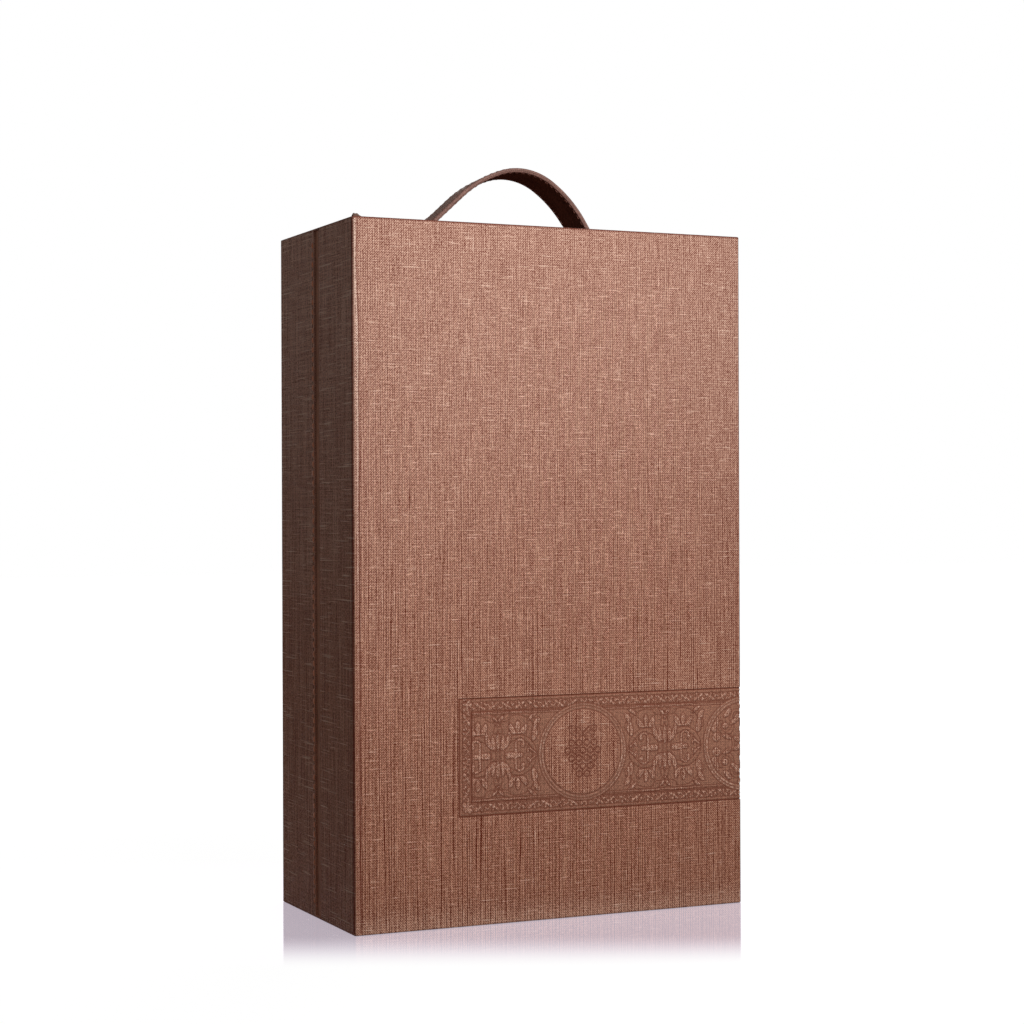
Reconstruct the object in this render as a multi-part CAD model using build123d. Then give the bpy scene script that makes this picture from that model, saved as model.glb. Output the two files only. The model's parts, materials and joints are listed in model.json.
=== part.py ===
from build123d import *
import math
import os

os.makedirs("parts", exist_ok=True)

# Two-bottle clamshell box. Millimetres. The origin is the middle of the closed box's base,
# +X is to the right, +Y to the back and +Z up. The front half is the lid, the rear half the tray.

# Outside of the closed box
box_width = 220.0
box_height = 355.0
lid_depth = 49.5
tray_depth = 60.0
parting_gap = 0.5

# Sheets and boards
leather = 1.0
panel_board = 3.0
wall_board = 4.0
lining = 0.8
turn_in = 12.0  # how far the leather goes inside, past the rim
corner_round = 1.5
edge_round = 0.6

# Leather hinge on the left side, which bends about an upright line at the parting gap,
# 0.3 outside the box, so that the open lid's side lies 0.6 from the tray's
hinge_strip = 0.8
strip_clearance = 0.05
strip_tuck = 12.0  # glued width under each half's leather
gutter_width = 7.0  # free width that shows between the halves' leather
stitch_inset = 1.8
stitch_length = 3.9
stitch_pitch = 4.9
stitch_width = 0.7
stitch_height = 0.4
stitch_end_margin = 5.0
thread_clearance = 0.05

# Pressed band on the front, which runs round the right edge
band_left = 56.0  # from the box's left side
band_bottom = 55.0
band_height = 60.0
band_recess = 0.4

# Magnets in the rims opposite the hinge
magnet_thickness = 2.0
magnet_length = 20.0
magnet_depth = 10.0
magnet_clearance = 0.1
magnet_end_distance = 60.0
magnet_count = 3

# The bottles that the inside is shaped for
bottle_radius = 38.0
bottle_body = 195.0
bottle_shoulder = 45.0
bottle_neck_radius = 15.5
bottle_length = 300.0
bottle_clearance = 1.5
bottle_spacing = 104.0  # between the bottles' axes
bottle_end_room = 6.0

# Soft furnishing
velvet = 0.8
glue_line = 0.05
bed_face_recess = 2.0  # below the tray's rim
bed_side_clearance = 0.3
base_pad = 8.0
handle_room = 12.0  # left free under the top for the handle's fixings
pad_card = 1.2
pad_thickness = 7.0
pad_margin = 6.0
pad_crown = 2.0
pad_waist = 1.5

# Strap handle on the tray's top
handle_rise = 38.2
handle_peak_x = 6.0
handle_left_root_x = -45.2
handle_left_root_radius = 11.7
handle_left_slope = 0.6  # of the steepest slope that the arch could have
handle_left_crown = 0.41  # share of the arch's turn in its crown
handle_right_root_x = 49.8
handle_right_root_radius = 7.2
handle_right_slope = 0.73
handle_right_crown = 0.58
handle_shoulder = 1.93  # radius of the arch beside its crown, as a multiple of the crown's
handle_root_stand = 0.5  # straight part above the top before the strap bends over
strap_width = 22.6
strap_setback = 3.6  # from the tray's rim
strap_leather = 0.8
strap_core = 0.9
strap_lining = 0.7
strap_layer_gap = 0.02
strap_fold_radius = 2.6
strap_end_run = 20.0
slot_clearance = 0.4
strap_stitch_inset = 1.9
strap_stitch_length = 2.9
strap_stitch_pitch = 3.8
strap_stitch_width = 0.5
strap_stitch_height = 0.3

# Fixings inside the top
plate_thickness = 1.0
plate_length = 16.0
plate_side_margin = 1.5
screw_spacing = 11.0
screw_radius = 1.3
screw_head_radius = 2.8
screw_head_height = 1.4
screw_tip_cover = 0.6  # board left above the screw's tip
screw_clearance = 0.05

# Places that follow from the sizes above
box_depth = lid_depth + parting_gap + tray_depth
left = -box_width / 2
right = box_width / 2
front = -box_depth / 2
back = box_depth / 2
tray_rim_y = back - tray_depth
board_left = left + leather
board_right = right - leather
inner_left = board_left + wall_board
inner_right = board_right - wall_board
board_bottom = leather
board_top = box_height - leather
inner_bottom = board_bottom + wall_board
inner_top = board_top - wall_board
inner_skin = max(leather, lining)  # the thicker of what covers the walls inside
lining_top = inner_top - lining
lining_bottom = inner_bottom + lining
strip_rebate = hinge_strip + 2 * strip_clearance


def block(x0, x1, y0, y1, z0, z1):
    """A box between pairs of limits, given in either order."""
    low = (min(x0, x1), min(y0, y1), min(z0, z1))
    size = (abs(x1 - x0), abs(y1 - y0), abs(z1 - z0))
    return Pos(*low) * Box(*size, align=(Align.MIN, Align.MIN, Align.MIN))


class Half:
    """One half of the box, whose depth d is counted from its outer panel towards its rim."""

    def __init__(self, name, depth, outer_y, inward):
        self.name = name
        self.depth = depth
        self.outer_y = outer_y
        self.inward = inward
        self.inner_d = leather + panel_board
        self.lining_d = self.inner_d + lining
        self.rim_board_d = depth - leather

    def y(self, d):
        return self.outer_y + self.inward * d

    def block(self, x0, x1, d0, d1, z0, z1):
        return block(x0, x1, self.y(d0), self.y(d1), z0, z1)


lid = Half("lid", lid_depth, front, 1)
tray = Half("tray", tray_depth, back, -1)


def save(shape, node):
    shape.label = node
    export_step(shape, f"parts/{node}.step")


def magnet_heights():
    first = magnet_end_distance
    step = (box_height - 2 * magnet_end_distance) / (magnet_count - 1)
    return [first + step * number for number in range(magnet_count)]


def magnets(half, grown=0.0):
    """Bar magnets let into the rim of the wall opposite the hinge."""
    middle = board_right - wall_board / 2
    across = magnet_thickness / 2 + grown
    up = magnet_length / 2 + grown
    d0 = half.rim_board_d - magnet_depth - grown
    bars = [
        half.block(middle - across, middle + across, d0, half.rim_board_d, z - up, z + up)
        for z in magnet_heights()
    ]
    return Compound(children=bars)


def boards(half):
    """The panel board and the four wall boards that stand on it."""
    d0 = half.inner_d
    d1 = half.rim_board_d
    panel = half.block(board_left, board_right, leather, d0, board_bottom, board_top)
    hinge_side = half.block(board_left, inner_left, d0, d1, board_bottom, board_top)
    opening_side = half.block(inner_right, board_right, d0, d1, board_bottom, board_top)
    top = half.block(inner_left, inner_right, d0, d1, inner_top, board_top)
    bottom = half.block(inner_left, inner_right, d0, d1, board_bottom, inner_bottom)
    for magnet in magnets(half, magnet_clearance).children:
        opening_side -= magnet
    tuck_d = strip_tuck_d(half) - strip_clearance
    hinge_side -= half.block(
        board_left, board_left + strip_rebate, tuck_d, d1, board_bottom, board_top
    )
    return {
        "panel_board": panel,
        "hinge_side_board": hinge_side,
        "opening_side_board": opening_side,
        "top_board": top,
        "bottom_board": bottom,
    }


def strip_tuck_d(half):
    """Depth at which the hinge strip ends under a half's leather."""
    return wrap_end_d(half) - strip_tuck


def wrap_end_d(half):
    """Depth at which the leather ends on the hinge side: the tray's stops short of its rim."""
    return half.depth - (gutter_width if half is tray else 0.0)


def corner_edges(shape, half):
    """The upright outer edges, where the outer panel meets the two sides."""
    upright = shape.edges().filter_by(Axis.Z)
    y = half.outer_y
    return upright.filter_by(
        lambda e: abs(e.center().Y - y) < 1e-6 and abs(abs(e.center().X) - right) < 1e-6
    )


def wrap_leather(half):
    """Leather round the hinge side, the panel and the opening side, over the rim and inside."""
    z0 = board_bottom
    z1 = board_top
    rim = half.rim_board_d
    skin = half.block(left, right, 0, leather, z0, z1)
    skin += half.block(left, board_left, 0, wrap_end_d(half), z0, z1)
    skin += half.block(board_right, right, 0, half.depth, z0, z1)
    skin += half.block(
        inner_right - leather, board_right, rim, half.depth,
        inner_bottom + leather, inner_top - leather,
    )
    skin += half.block(
        inner_right - leather, inner_right, half.depth - turn_in, rim, inner_bottom, inner_top
    )
    return fillet(corner_edges(skin, half), corner_round)


def end_leather(half, is_top):
    """Leather over the top or the bottom, over the rim and inside."""
    face = box_height if is_top else 0.0
    board_face = board_top if is_top else board_bottom
    inner_face = inner_top if is_top else inner_bottom
    flap_face = inner_face - leather if is_top else inner_face + leather
    rim = half.rim_board_d
    plate = half.block(left, right, 0, half.depth, face, board_face)
    plate = fillet(corner_edges(plate, half), corner_round)
    outline = plate.faces().sort_by(Axis.Z)[-1 if is_top else 0].outer_wire().edges()
    rim_y = half.y(half.depth)
    plate = fillet(outline.filter_by(lambda e: abs(e.center().Y - rim_y) > 1e-6), edge_round)
    plate += half.block(
        board_left + strip_rebate, board_right, rim, half.depth, board_face, flap_face
    )
    plate += half.block(
        inner_left + lining, inner_right - leather, half.depth - turn_in, rim,
        inner_face, flap_face,
    )
    return plate


def fabric_lining(half):
    """Lining of the panel and four walls, turned over the rim on the hinge side."""
    d0 = half.lining_d
    d1 = half.depth - turn_in
    rim = half.rim_board_d
    x0 = inner_left + lining
    x1 = inner_right - lining
    cloth = half.block(inner_left, inner_right, half.inner_d, d0, inner_bottom, inner_top)
    cloth += half.block(inner_left, x0, d0, rim, inner_bottom, inner_top)
    cloth += half.block(x1, inner_right, d0, d1, inner_bottom, inner_top)
    cloth += half.block(x0, x1, d0, d1, lining_top, inner_top)
    cloth += half.block(x0, x1, d0, d1, inner_bottom, lining_bottom)
    cloth += half.block(
        board_left + strip_rebate, x0, rim, rim + lining,
        inner_bottom + leather, inner_top - leather,
    )
    return cloth


def band_pocket():
    """The pressed band's recess: across the front and round the right side to the lid's rim."""
    z0 = band_bottom
    z1 = band_bottom + band_height
    across = lid.block(left + band_left, right, 0, band_recess, z0, z1)
    around = lid.block(right - band_recess, right, 0, lid.depth, z0, z1)
    corner = edge_bar(right, front, corner_round, z0, z1)
    return across + around + corner


def edge_bar(x, y, radius, z0, z1):
    """What a recess takes from a rounded upright corner of the front."""
    inner = radius - band_recess
    bar = block(x - radius, x, y, y + radius, z0, z1)
    core = Pos(x - radius, y + radius, z0) * Cylinder(
        inner, z1 - z0, align=(Align.CENTER, Align.CENTER, Align.MIN)
    )
    return bar - core


def hinge():
    """The leather strip between the halves, flat in the two rebates."""
    x0 = board_left + strip_clearance
    y0 = lid.y(strip_tuck_d(lid))
    y1 = tray.y(strip_tuck_d(tray))
    z0 = board_bottom + strip_clearance
    z1 = board_top - strip_clearance
    return block(x0, x0 + hinge_strip, y0, y1, z0, z1)


def hinge_stitch_y():
    return tray.y(wrap_end_d(tray) - stitch_inset)


def hinge_stitch_heights():
    length = box_height - 2 * stitch_end_margin
    count = int(length // stitch_pitch)
    first = box_height / 2 - stitch_pitch * (count - 1) / 2
    return [first + stitch_pitch * number for number in range(count)]


def hinge_stitches():
    """Stitches in a shallow groove of the tray's leather, level with its face."""
    y = hinge_stitch_y()
    half_width = stitch_width / 2
    half_length = stitch_length / 2
    x0 = left + thread_clearance
    x1 = left + stitch_height
    bars = [
        block(x0, x1, y - half_width, y + half_width, z - half_length, z + half_length)
        for z in hinge_stitch_heights()
    ]
    return Compound(children=bars)


def hinge_stitch_groove():
    y = hinge_stitch_y()
    half_width = stitch_width / 2 + thread_clearance
    z0 = hinge_stitch_heights()[0] - stitch_length / 2 - thread_clearance
    z1 = hinge_stitch_heights()[-1] + stitch_length / 2 + thread_clearance
    x1 = left + stitch_height + thread_clearance
    return block(left, x1, y - half_width, y + half_width, z0, z1)


# Strap handle, drawn in the XZ plane from its peak down each side
strap_thickness = strap_leather + strap_core + strap_lining + 2 * strap_layer_gap
strap_y0 = tray_rim_y + strap_setback
strap_y1 = strap_y0 + strap_width
strap_mid_y = (strap_y0 + strap_y1) / 2
under_top_z = inner_top - inner_skin  # what the turned-in ends lie against
strap_peak_z = box_height + handle_rise - strap_thickness / 2
strap_root_z = box_height + handle_root_stand
strap_fold_z = under_top_z - strap_thickness / 2 + strap_fold_radius


class StrapSide:
    """One side of the strap's middle line: a crown arc, a wider arc, a straight flank, an arc
    into the upright part in the slot, and a fold inwards under the top board."""

    def __init__(self, side, root_x, root_radius, slope, crown):
        self.side = side
        self.root_radius = root_radius
        span = abs(root_x - handle_peak_x)
        rise = strap_peak_z - strap_root_z
        angle = slope * 2 * math.atan(rise / span)
        turn = crown * angle
        s = math.sin(angle)
        c = math.cos(angle)
        # how far the arch goes sideways and down for each millimetre of the crown's radius
        arch_across = math.sin(turn) + handle_shoulder * (s - math.sin(turn))
        arch_down = 1 - math.cos(turn) + handle_shoulder * (math.cos(turn) - c)
        across = span - root_radius * (1 - s)
        down = rise - root_radius * c
        spread = arch_across * s - c * arch_down
        crown_radius = (across * s - c * down) / spread
        flank = (arch_across * down - arch_down * across) / spread
        drop = strap_root_z - strap_fold_z
        self.steps = [
            ("arc", crown_radius, turn),
            ("arc", crown_radius * handle_shoulder, angle - turn),
            ("run", flank, 0.0),
            ("arc", root_radius, math.pi / 2 - angle),
            ("run", drop, 0.0),
            ("arc", strap_fold_radius, math.pi / 2),
            ("run", strap_end_run, 0.0),
        ]

    def place(self, x, z):
        return (handle_peak_x + self.side * x, z)

    def walk(self, offset):
        """Edges of the line, moved outwards by offset."""
        x = 0.0
        z = strap_peak_z
        heading = 0.0
        edges = []
        for kind, size, turn in self.steps:
            if kind == "arc":
                cx = x - size * math.sin(heading)
                cz = z - size * math.cos(heading)
                angles = [heading, heading + turn / 2, heading + turn]
                reach = size + offset
                points = [
                    self.place(cx + reach * math.sin(a), cz + reach * math.cos(a)) for a in angles
                ]
                edges.append(ThreePointArc(*points))
                heading += turn
                x = cx + size * math.sin(heading)
                z = cz + size * math.cos(heading)
            else:
                ox = offset * math.sin(heading)
                oz = offset * math.cos(heading)
                start = self.place(x + ox, z + oz)
                x += size * math.cos(heading)
                z -= size * math.sin(heading)
                edges.append(Line(start, self.place(x + ox, z + oz)))
        return edges

    def stations(self, pitch):
        """Places at even steps along the part that shows: x, z and the heading below level."""
        path = Wire(self.walk(0.0)[:4])
        found = []
        for number in range(int(path.length // pitch)):
            along = pitch * (number + 0.5)
            point = path.position_at(along, position_mode=PositionMode.LENGTH)
            way = path.tangent_at(along, position_mode=PositionMode.LENGTH)
            found.append((point.X, point.Y, math.atan2(-way.Y, self.side * way.X)))
        return found


strap_sides = [
    StrapSide(-1, handle_left_root_x, handle_left_root_radius, handle_left_slope, handle_left_crown),
    StrapSide(1, handle_right_root_x, handle_right_root_radius, handle_right_slope, handle_right_crown),
]


def strap_layer(outer, inner):
    """A layer of the strap between two offsets from its middle line."""
    edges = []
    for side in strap_sides:
        far = side.walk(outer)
        near = side.walk(inner)
        edges += far + near
        edges.append(Line(far[-1] @ 1, near[-1] @ 1))
    face = make_face(Wire.combine(edges)[0].edges())
    upright = Plane(origin=(0, strap_y0, 0), x_dir=(1, 0, 0), z_dir=(0, -1, 0))
    return extrude(upright * face, -strap_width)


def strap_stitches():
    """Stitches along both edges of the arch, above and below."""
    bars = []
    lift = strap_thickness / 2 + strap_stitch_height / 2 + thread_clearance
    rows = [strap_y0 + strap_stitch_inset, strap_y1 - strap_stitch_inset]
    bar = Box(strap_stitch_length, strap_stitch_width, strap_stitch_height)
    for side in strap_sides:
        sag = strap_stitch_length**2 / (8 * side.root_radius)
        for x, z, heading in side.stations(strap_stitch_pitch):
            turn = Rotation(0, math.degrees(side.side * heading), 0)
            for offset in (lift, -lift - sag):
                px = x + side.side * offset * math.sin(heading)
                pz = z + offset * math.cos(heading)
                bars += [Pos(px, y, pz) * turn * bar for y in rows]
    return Compound(children=bars)


def strap_slots():
    """Slots that let the strap through the top, relieved below where it folds inwards."""
    cuts = []
    y0 = strap_y0 - slot_clearance
    y1 = strap_y1 + slot_clearance
    grow = strap_thickness / 2 + slot_clearance
    fold_z = strap_fold_z + slot_clearance
    for x, inward in ((handle_left_root_x, 1), (handle_right_root_x, -1)):
        fold_x = x + inward * (strap_fold_radius + slot_clearance)
        slot = block(x - grow, x + grow, y0, y1, under_top_z - slot_clearance, box_height)
        slot += block(x, fold_x, y0, y1, under_top_z - slot_clearance, fold_z)
        cuts.append(slot)
    return cuts


def fixing_centres():
    """Middle of each turned-in end, on the side towards the handle's middle."""
    reach = strap_fold_radius + strap_end_run / 2
    return [handle_left_root_x + reach, handle_right_root_x - reach]


plate_top_z = under_top_z - strap_thickness
plate_bottom_z = plate_top_z - plate_thickness
screw_tip_z = board_top - screw_tip_cover


def screw_places():
    half = screw_spacing / 2
    return [(x, strap_mid_y + dy) for x in fixing_centres() for dy in (-half, half)]


def screw_hole(x, y):
    top = screw_tip_z + screw_clearance
    hole = Cylinder(
        screw_radius + screw_clearance, top - plate_bottom_z,
        align=(Align.CENTER, Align.CENTER, Align.MIN),
    )
    return Pos(x, y, plate_bottom_z) * hole


def screw(x, y):
    shank = Pos(x, y, plate_bottom_z) * Cylinder(
        screw_radius, screw_tip_z - plate_bottom_z, align=(Align.CENTER, Align.CENTER, Align.MIN)
    )
    head = Pos(x, y, plate_bottom_z) * Cylinder(
        screw_head_radius, screw_head_height, align=(Align.CENTER, Align.CENTER, Align.MAX)
    )
    rim = head.edges().sort_by(Axis.Z)[0]
    return fillet(rim, screw_head_height / 2) + shank


def anchor_plate(x):
    half_length = plate_length / 2
    return block(
        x - half_length, x + half_length,
        strap_y0 + plate_side_margin, strap_y1 - plate_side_margin,
        plate_bottom_z, plate_top_z,
    )


# Furnishing of the tray
bed_y0 = tray_rim_y + bed_face_recess
bed_y1 = tray.y(tray.lining_d)
bed_x = inner_right - inner_skin - bed_side_clearance
base_pad_top = inner_bottom + inner_skin + base_pad
shoulder_z = base_pad_top + bottle_body
neck_z = shoulder_z + bottle_shoulder
neck_end_z = base_pad_top + bottle_length + bottle_end_room
rest_top_z = lining_top - handle_room
trough_radius = bottle_radius + bottle_clearance
neck_trough_radius = bottle_neck_radius + bottle_clearance
bottle_axes = (-bottle_spacing / 2, bottle_spacing / 2)


def bottle_space(x, grown):
    """The bottle's room, turned about its upright axis in the bed's face."""
    body = trough_radius + grown
    neck = neck_trough_radius + grown
    outline = Polyline(
        (0, base_pad_top),
        (body, base_pad_top),
        (body, shoulder_z),
        (neck, neck_z),
        (neck, neck_end_z + grown),
        (0, neck_end_z + grown),
        close=True,
    )
    face = Plane.XZ * make_face(outline)
    return Pos(x, bed_y0, 0) * revolve(face, Axis.Z)


def furnishing(z0, z1):
    """A foam block between two heights and the velvet on its face and in its troughs."""
    foam = block(-bed_x, bed_x, bed_y0 + velvet + glue_line, bed_y1, z0, z1)
    cover = block(-bed_x, bed_x, bed_y0, bed_y0 + velvet, z0, z1)
    behind = block(-bed_x, bed_x, bed_y0, bed_y1, z0, z1)
    for x in bottle_axes:
        cover += bottle_space(x, velvet) & behind
        foam -= bottle_space(x, velvet + glue_line)
    for x in bottle_axes:
        cover -= bottle_space(x, 0.0)
    return foam, cover


def crowned_pad(half_x, z0, z1, y_base, y_face, crown, waist):
    """A soft pad on a wall: its face bulges by crown and its sides draw in by waist."""
    z_mid = (z0 + z1) / 2
    direction = 1 if y_face > y_base else -1
    rim_y = y_face - direction * crown
    plan = make_face(
        Wire(
            [
                Line((-half_x, y_base), (half_x, y_base)),
                Line((half_x, y_base), (half_x, rim_y)),
                ThreePointArc((half_x, rim_y), (0, y_face), (-half_x, rim_y)),
                Line((-half_x, rim_y), (-half_x, y_base)),
            ]
        )
    )
    outline = make_face(
        Wire(
            [
                ThreePointArc((-half_x, z0), (0, z0 + waist), (half_x, z0)),
                ThreePointArc((half_x, z0), (half_x - waist, z_mid), (half_x, z1)),
                ThreePointArc((half_x, z1), (0, z1 - waist), (-half_x, z1)),
                ThreePointArc((-half_x, z1), (waist - half_x, z_mid), (-half_x, z0)),
            ]
        )
    )
    section = make_face(
        Wire(
            [
                Line((y_base, z0), (rim_y, z0)),
                ThreePointArc((rim_y, z0), (y_face, z_mid), (rim_y, z1)),
                Line((rim_y, z1), (y_base, z1)),
                Line((y_base, z1), (y_base, z0)),
            ]
        )
    )
    tall = extrude(Pos(0, 0, z0) * plan, z1 - z0)
    facing = Plane(origin=(0, min(y_base, y_face), 0), x_dir=(1, 0, 0), z_dir=(0, -1, 0))
    deep = extrude(facing * outline, -abs(y_face - y_base))
    sideways = Plane(origin=(-half_x, 0, 0), x_dir=(0, 1, 0), z_dir=(1, 0, 0))
    wide = extrude(sideways * section, 2 * half_x)
    return tall & deep & wide


# Boards, leather, lining and magnets of both halves
slots = strap_slots()
for half in (lid, tray):
    frame_boards = boards(half)
    wrap = wrap_leather(half)
    top_skin = end_leather(half, True)
    bottom_skin = end_leather(half, False)
    cloth = fabric_lining(half)
    if half is lid:
        wrap -= band_pocket()
    if half is tray:
        wrap -= hinge_stitch_groove()
        for cut in slots + [screw_hole(x, y) for x, y in screw_places()]:
            top_skin -= cut
            cloth -= cut
            frame_boards["top_board"] -= cut
    for name, board in frame_boards.items():
        save(board, f"{half.name}_{name}")
    save(wrap, f"{half.name}_wrap_leather")
    save(top_skin, f"{half.name}_top_leather")
    save(bottom_skin, f"{half.name}_bottom_leather")
    save(cloth, f"{half.name}_lining")
    save(magnets(half), f"{half.name}_magnets")

# Hinge
save(hinge(), "hinge_strip")
save(hinge_stitches(), "hinge_stitching")

# Lid pad on its card
pad_half_x = inner_right - lining - pad_margin
pad_z0 = lining_bottom + pad_margin
pad_z1 = lining_top - pad_margin
card_y0 = lid.y(lid.lining_d)
card_y1 = card_y0 + pad_card
save(block(-pad_half_x, pad_half_x, card_y0, card_y1, pad_z0, pad_z1), "lid_pad_card")
pad_y0 = card_y1 + glue_line
lid_pad = crowned_pad(pad_half_x, pad_z0, pad_z1, pad_y0, pad_y0 + pad_thickness, pad_crown, pad_waist)
save(lid_pad, "lid_pad")

# Bottle bed, neck rest and base pad in the tray
bed_foam, bed_cover = furnishing(base_pad_top, shoulder_z)
save(bed_foam, "bottle_bed_foam")
save(bed_cover, "bottle_bed_velvet")
rest_foam, rest_cover = furnishing(shoulder_z, rest_top_z)
save(rest_foam, "neck_rest_foam")
save(rest_cover, "neck_rest_velvet")
save(block(-bed_x, bed_x, bed_y0, bed_y1, base_pad_top - base_pad, base_pad_top), "base_pad")

# Strap handle and its fixings
half_strap = strap_thickness / 2
core_out = half_strap - strap_leather - strap_layer_gap
core_in = core_out - strap_core
screws = [screw(x, y) for x, y in screw_places()]
strap_outer = strap_layer(half_strap, half_strap - strap_leather)
core = strap_layer(core_out, core_in)
strap_under = strap_layer(core_in - strap_layer_gap, -half_strap)
plates = [anchor_plate(x) for x in fixing_centres()]
for hole in [screw_hole(x, y) for x, y in screw_places()]:
    strap_outer -= hole
    core -= hole
    strap_under -= hole
    plates = [plate - hole for plate in plates]
save(strap_outer, "handle_strap_outer")
save(core, "handle_core")
save(strap_under, "handle_strap_lining")
save(strap_stitches(), "handle_stitching")
save(Compound(children=plates), "handle_anchor_plates")
save(Compound(children=screws), "handle_screws")
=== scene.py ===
import json
import math

import bpy
import numpy as np
from mathutils import Matrix, Vector


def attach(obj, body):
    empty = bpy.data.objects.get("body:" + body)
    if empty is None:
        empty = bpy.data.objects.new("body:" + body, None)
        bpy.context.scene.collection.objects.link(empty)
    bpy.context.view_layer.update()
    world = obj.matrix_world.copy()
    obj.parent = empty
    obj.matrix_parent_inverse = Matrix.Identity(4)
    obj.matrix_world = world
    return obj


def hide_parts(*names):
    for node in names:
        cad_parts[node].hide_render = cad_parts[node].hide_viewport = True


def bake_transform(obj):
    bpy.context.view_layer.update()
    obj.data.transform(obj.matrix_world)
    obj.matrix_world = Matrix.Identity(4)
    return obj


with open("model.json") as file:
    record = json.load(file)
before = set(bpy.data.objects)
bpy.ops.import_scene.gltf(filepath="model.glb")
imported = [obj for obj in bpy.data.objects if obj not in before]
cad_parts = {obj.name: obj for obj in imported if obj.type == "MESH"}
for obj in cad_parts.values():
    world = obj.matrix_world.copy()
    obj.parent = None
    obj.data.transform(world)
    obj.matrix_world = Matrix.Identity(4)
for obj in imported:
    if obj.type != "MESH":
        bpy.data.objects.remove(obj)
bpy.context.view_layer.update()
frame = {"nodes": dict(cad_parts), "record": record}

mm = 0.001
scene = bpy.context.scene

# the closed box, in millimetres; every piece below is measured from these
case = {
    "left": -110.0, "right": 110.0, "front": -55.0, "back": 55.0, "top": 355.0,
    "lidRim": -5.5, "leather": 1.0, "cornerRound": 1.5,
}


def link(name, data):
    # a new object in the scene
    made = bpy.data.objects.new(name, data)
    scene.collection.objects.link(made)
    return made


# Camera

view = {"place": (-0.49675, -1.08573, 0.20948), "lens": 78.407, "yaw": -24.638, "tilt": -0.036, "roll": -0.2}


def makeCamera():
    data = bpy.data.cameras.new("camera")
    data.lens = view["lens"]
    data.sensor_width = 36
    data.clip_end = 20
    camera = link("camera", data)
    turn = Matrix()
    for angle, axis in ((view["yaw"], "Z"), (90 + view["tilt"], "X"), (view["roll"], "Z")):
        turn = turn @ Matrix.Rotation(math.radians(angle), 4, axis)
    camera.matrix_world = Matrix.Translation(view["place"]) @ turn
    scene.camera = camera


makeCamera()
scene.view_settings.view_transform = "Standard"
# the weave is about two pixels wide, so the denoiser's guides stay unsmoothed or it would wipe the weave out
scene.cycles.denoising_prefilter = "NONE"
print("camera set")


# Shader maths: a Wire is one socket, and a formula on Wires adds its Math nodes

def operator(operation, reflected=False):
    def apply(self, other):
        values = (other, self) if reflected else (self, other)
        return self.graph.node("ShaderNodeMath", {"operation": operation}, dict(enumerate(values)))
    return apply


class Wire:
    def __init__(self, graph, socket):
        self.graph = graph
        self.socket = socket

    __add__, __radd__ = operator("ADD"), operator("ADD", True)
    __sub__, __rsub__ = operator("SUBTRACT"), operator("SUBTRACT", True)
    __mul__, __rmul__ = operator("MULTIPLY"), operator("MULTIPLY", True)
    __pow__, __rpow__ = operator("POWER"), operator("POWER", True)
    atMost, atLeast = operator("MINIMUM"), operator("MAXIMUM")

    def sine(self):
        return self.graph.node("ShaderNodeMath", {"operation": "SINE"}, {0: self})

    def size(self):
        return self.graph.node("ShaderNodeMath", {"operation": "ABSOLUTE"}, {0: self})

    def step(self, low, high):
        # 0 below low, 1 above high, eased between
        settings = {"interpolation_type": "SMOOTHSTEP"}
        return self.graph.node("ShaderNodeMapRange", settings, {0: self, 1: low, 2: high, 3: 0.0, 4: 1.0})


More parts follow.
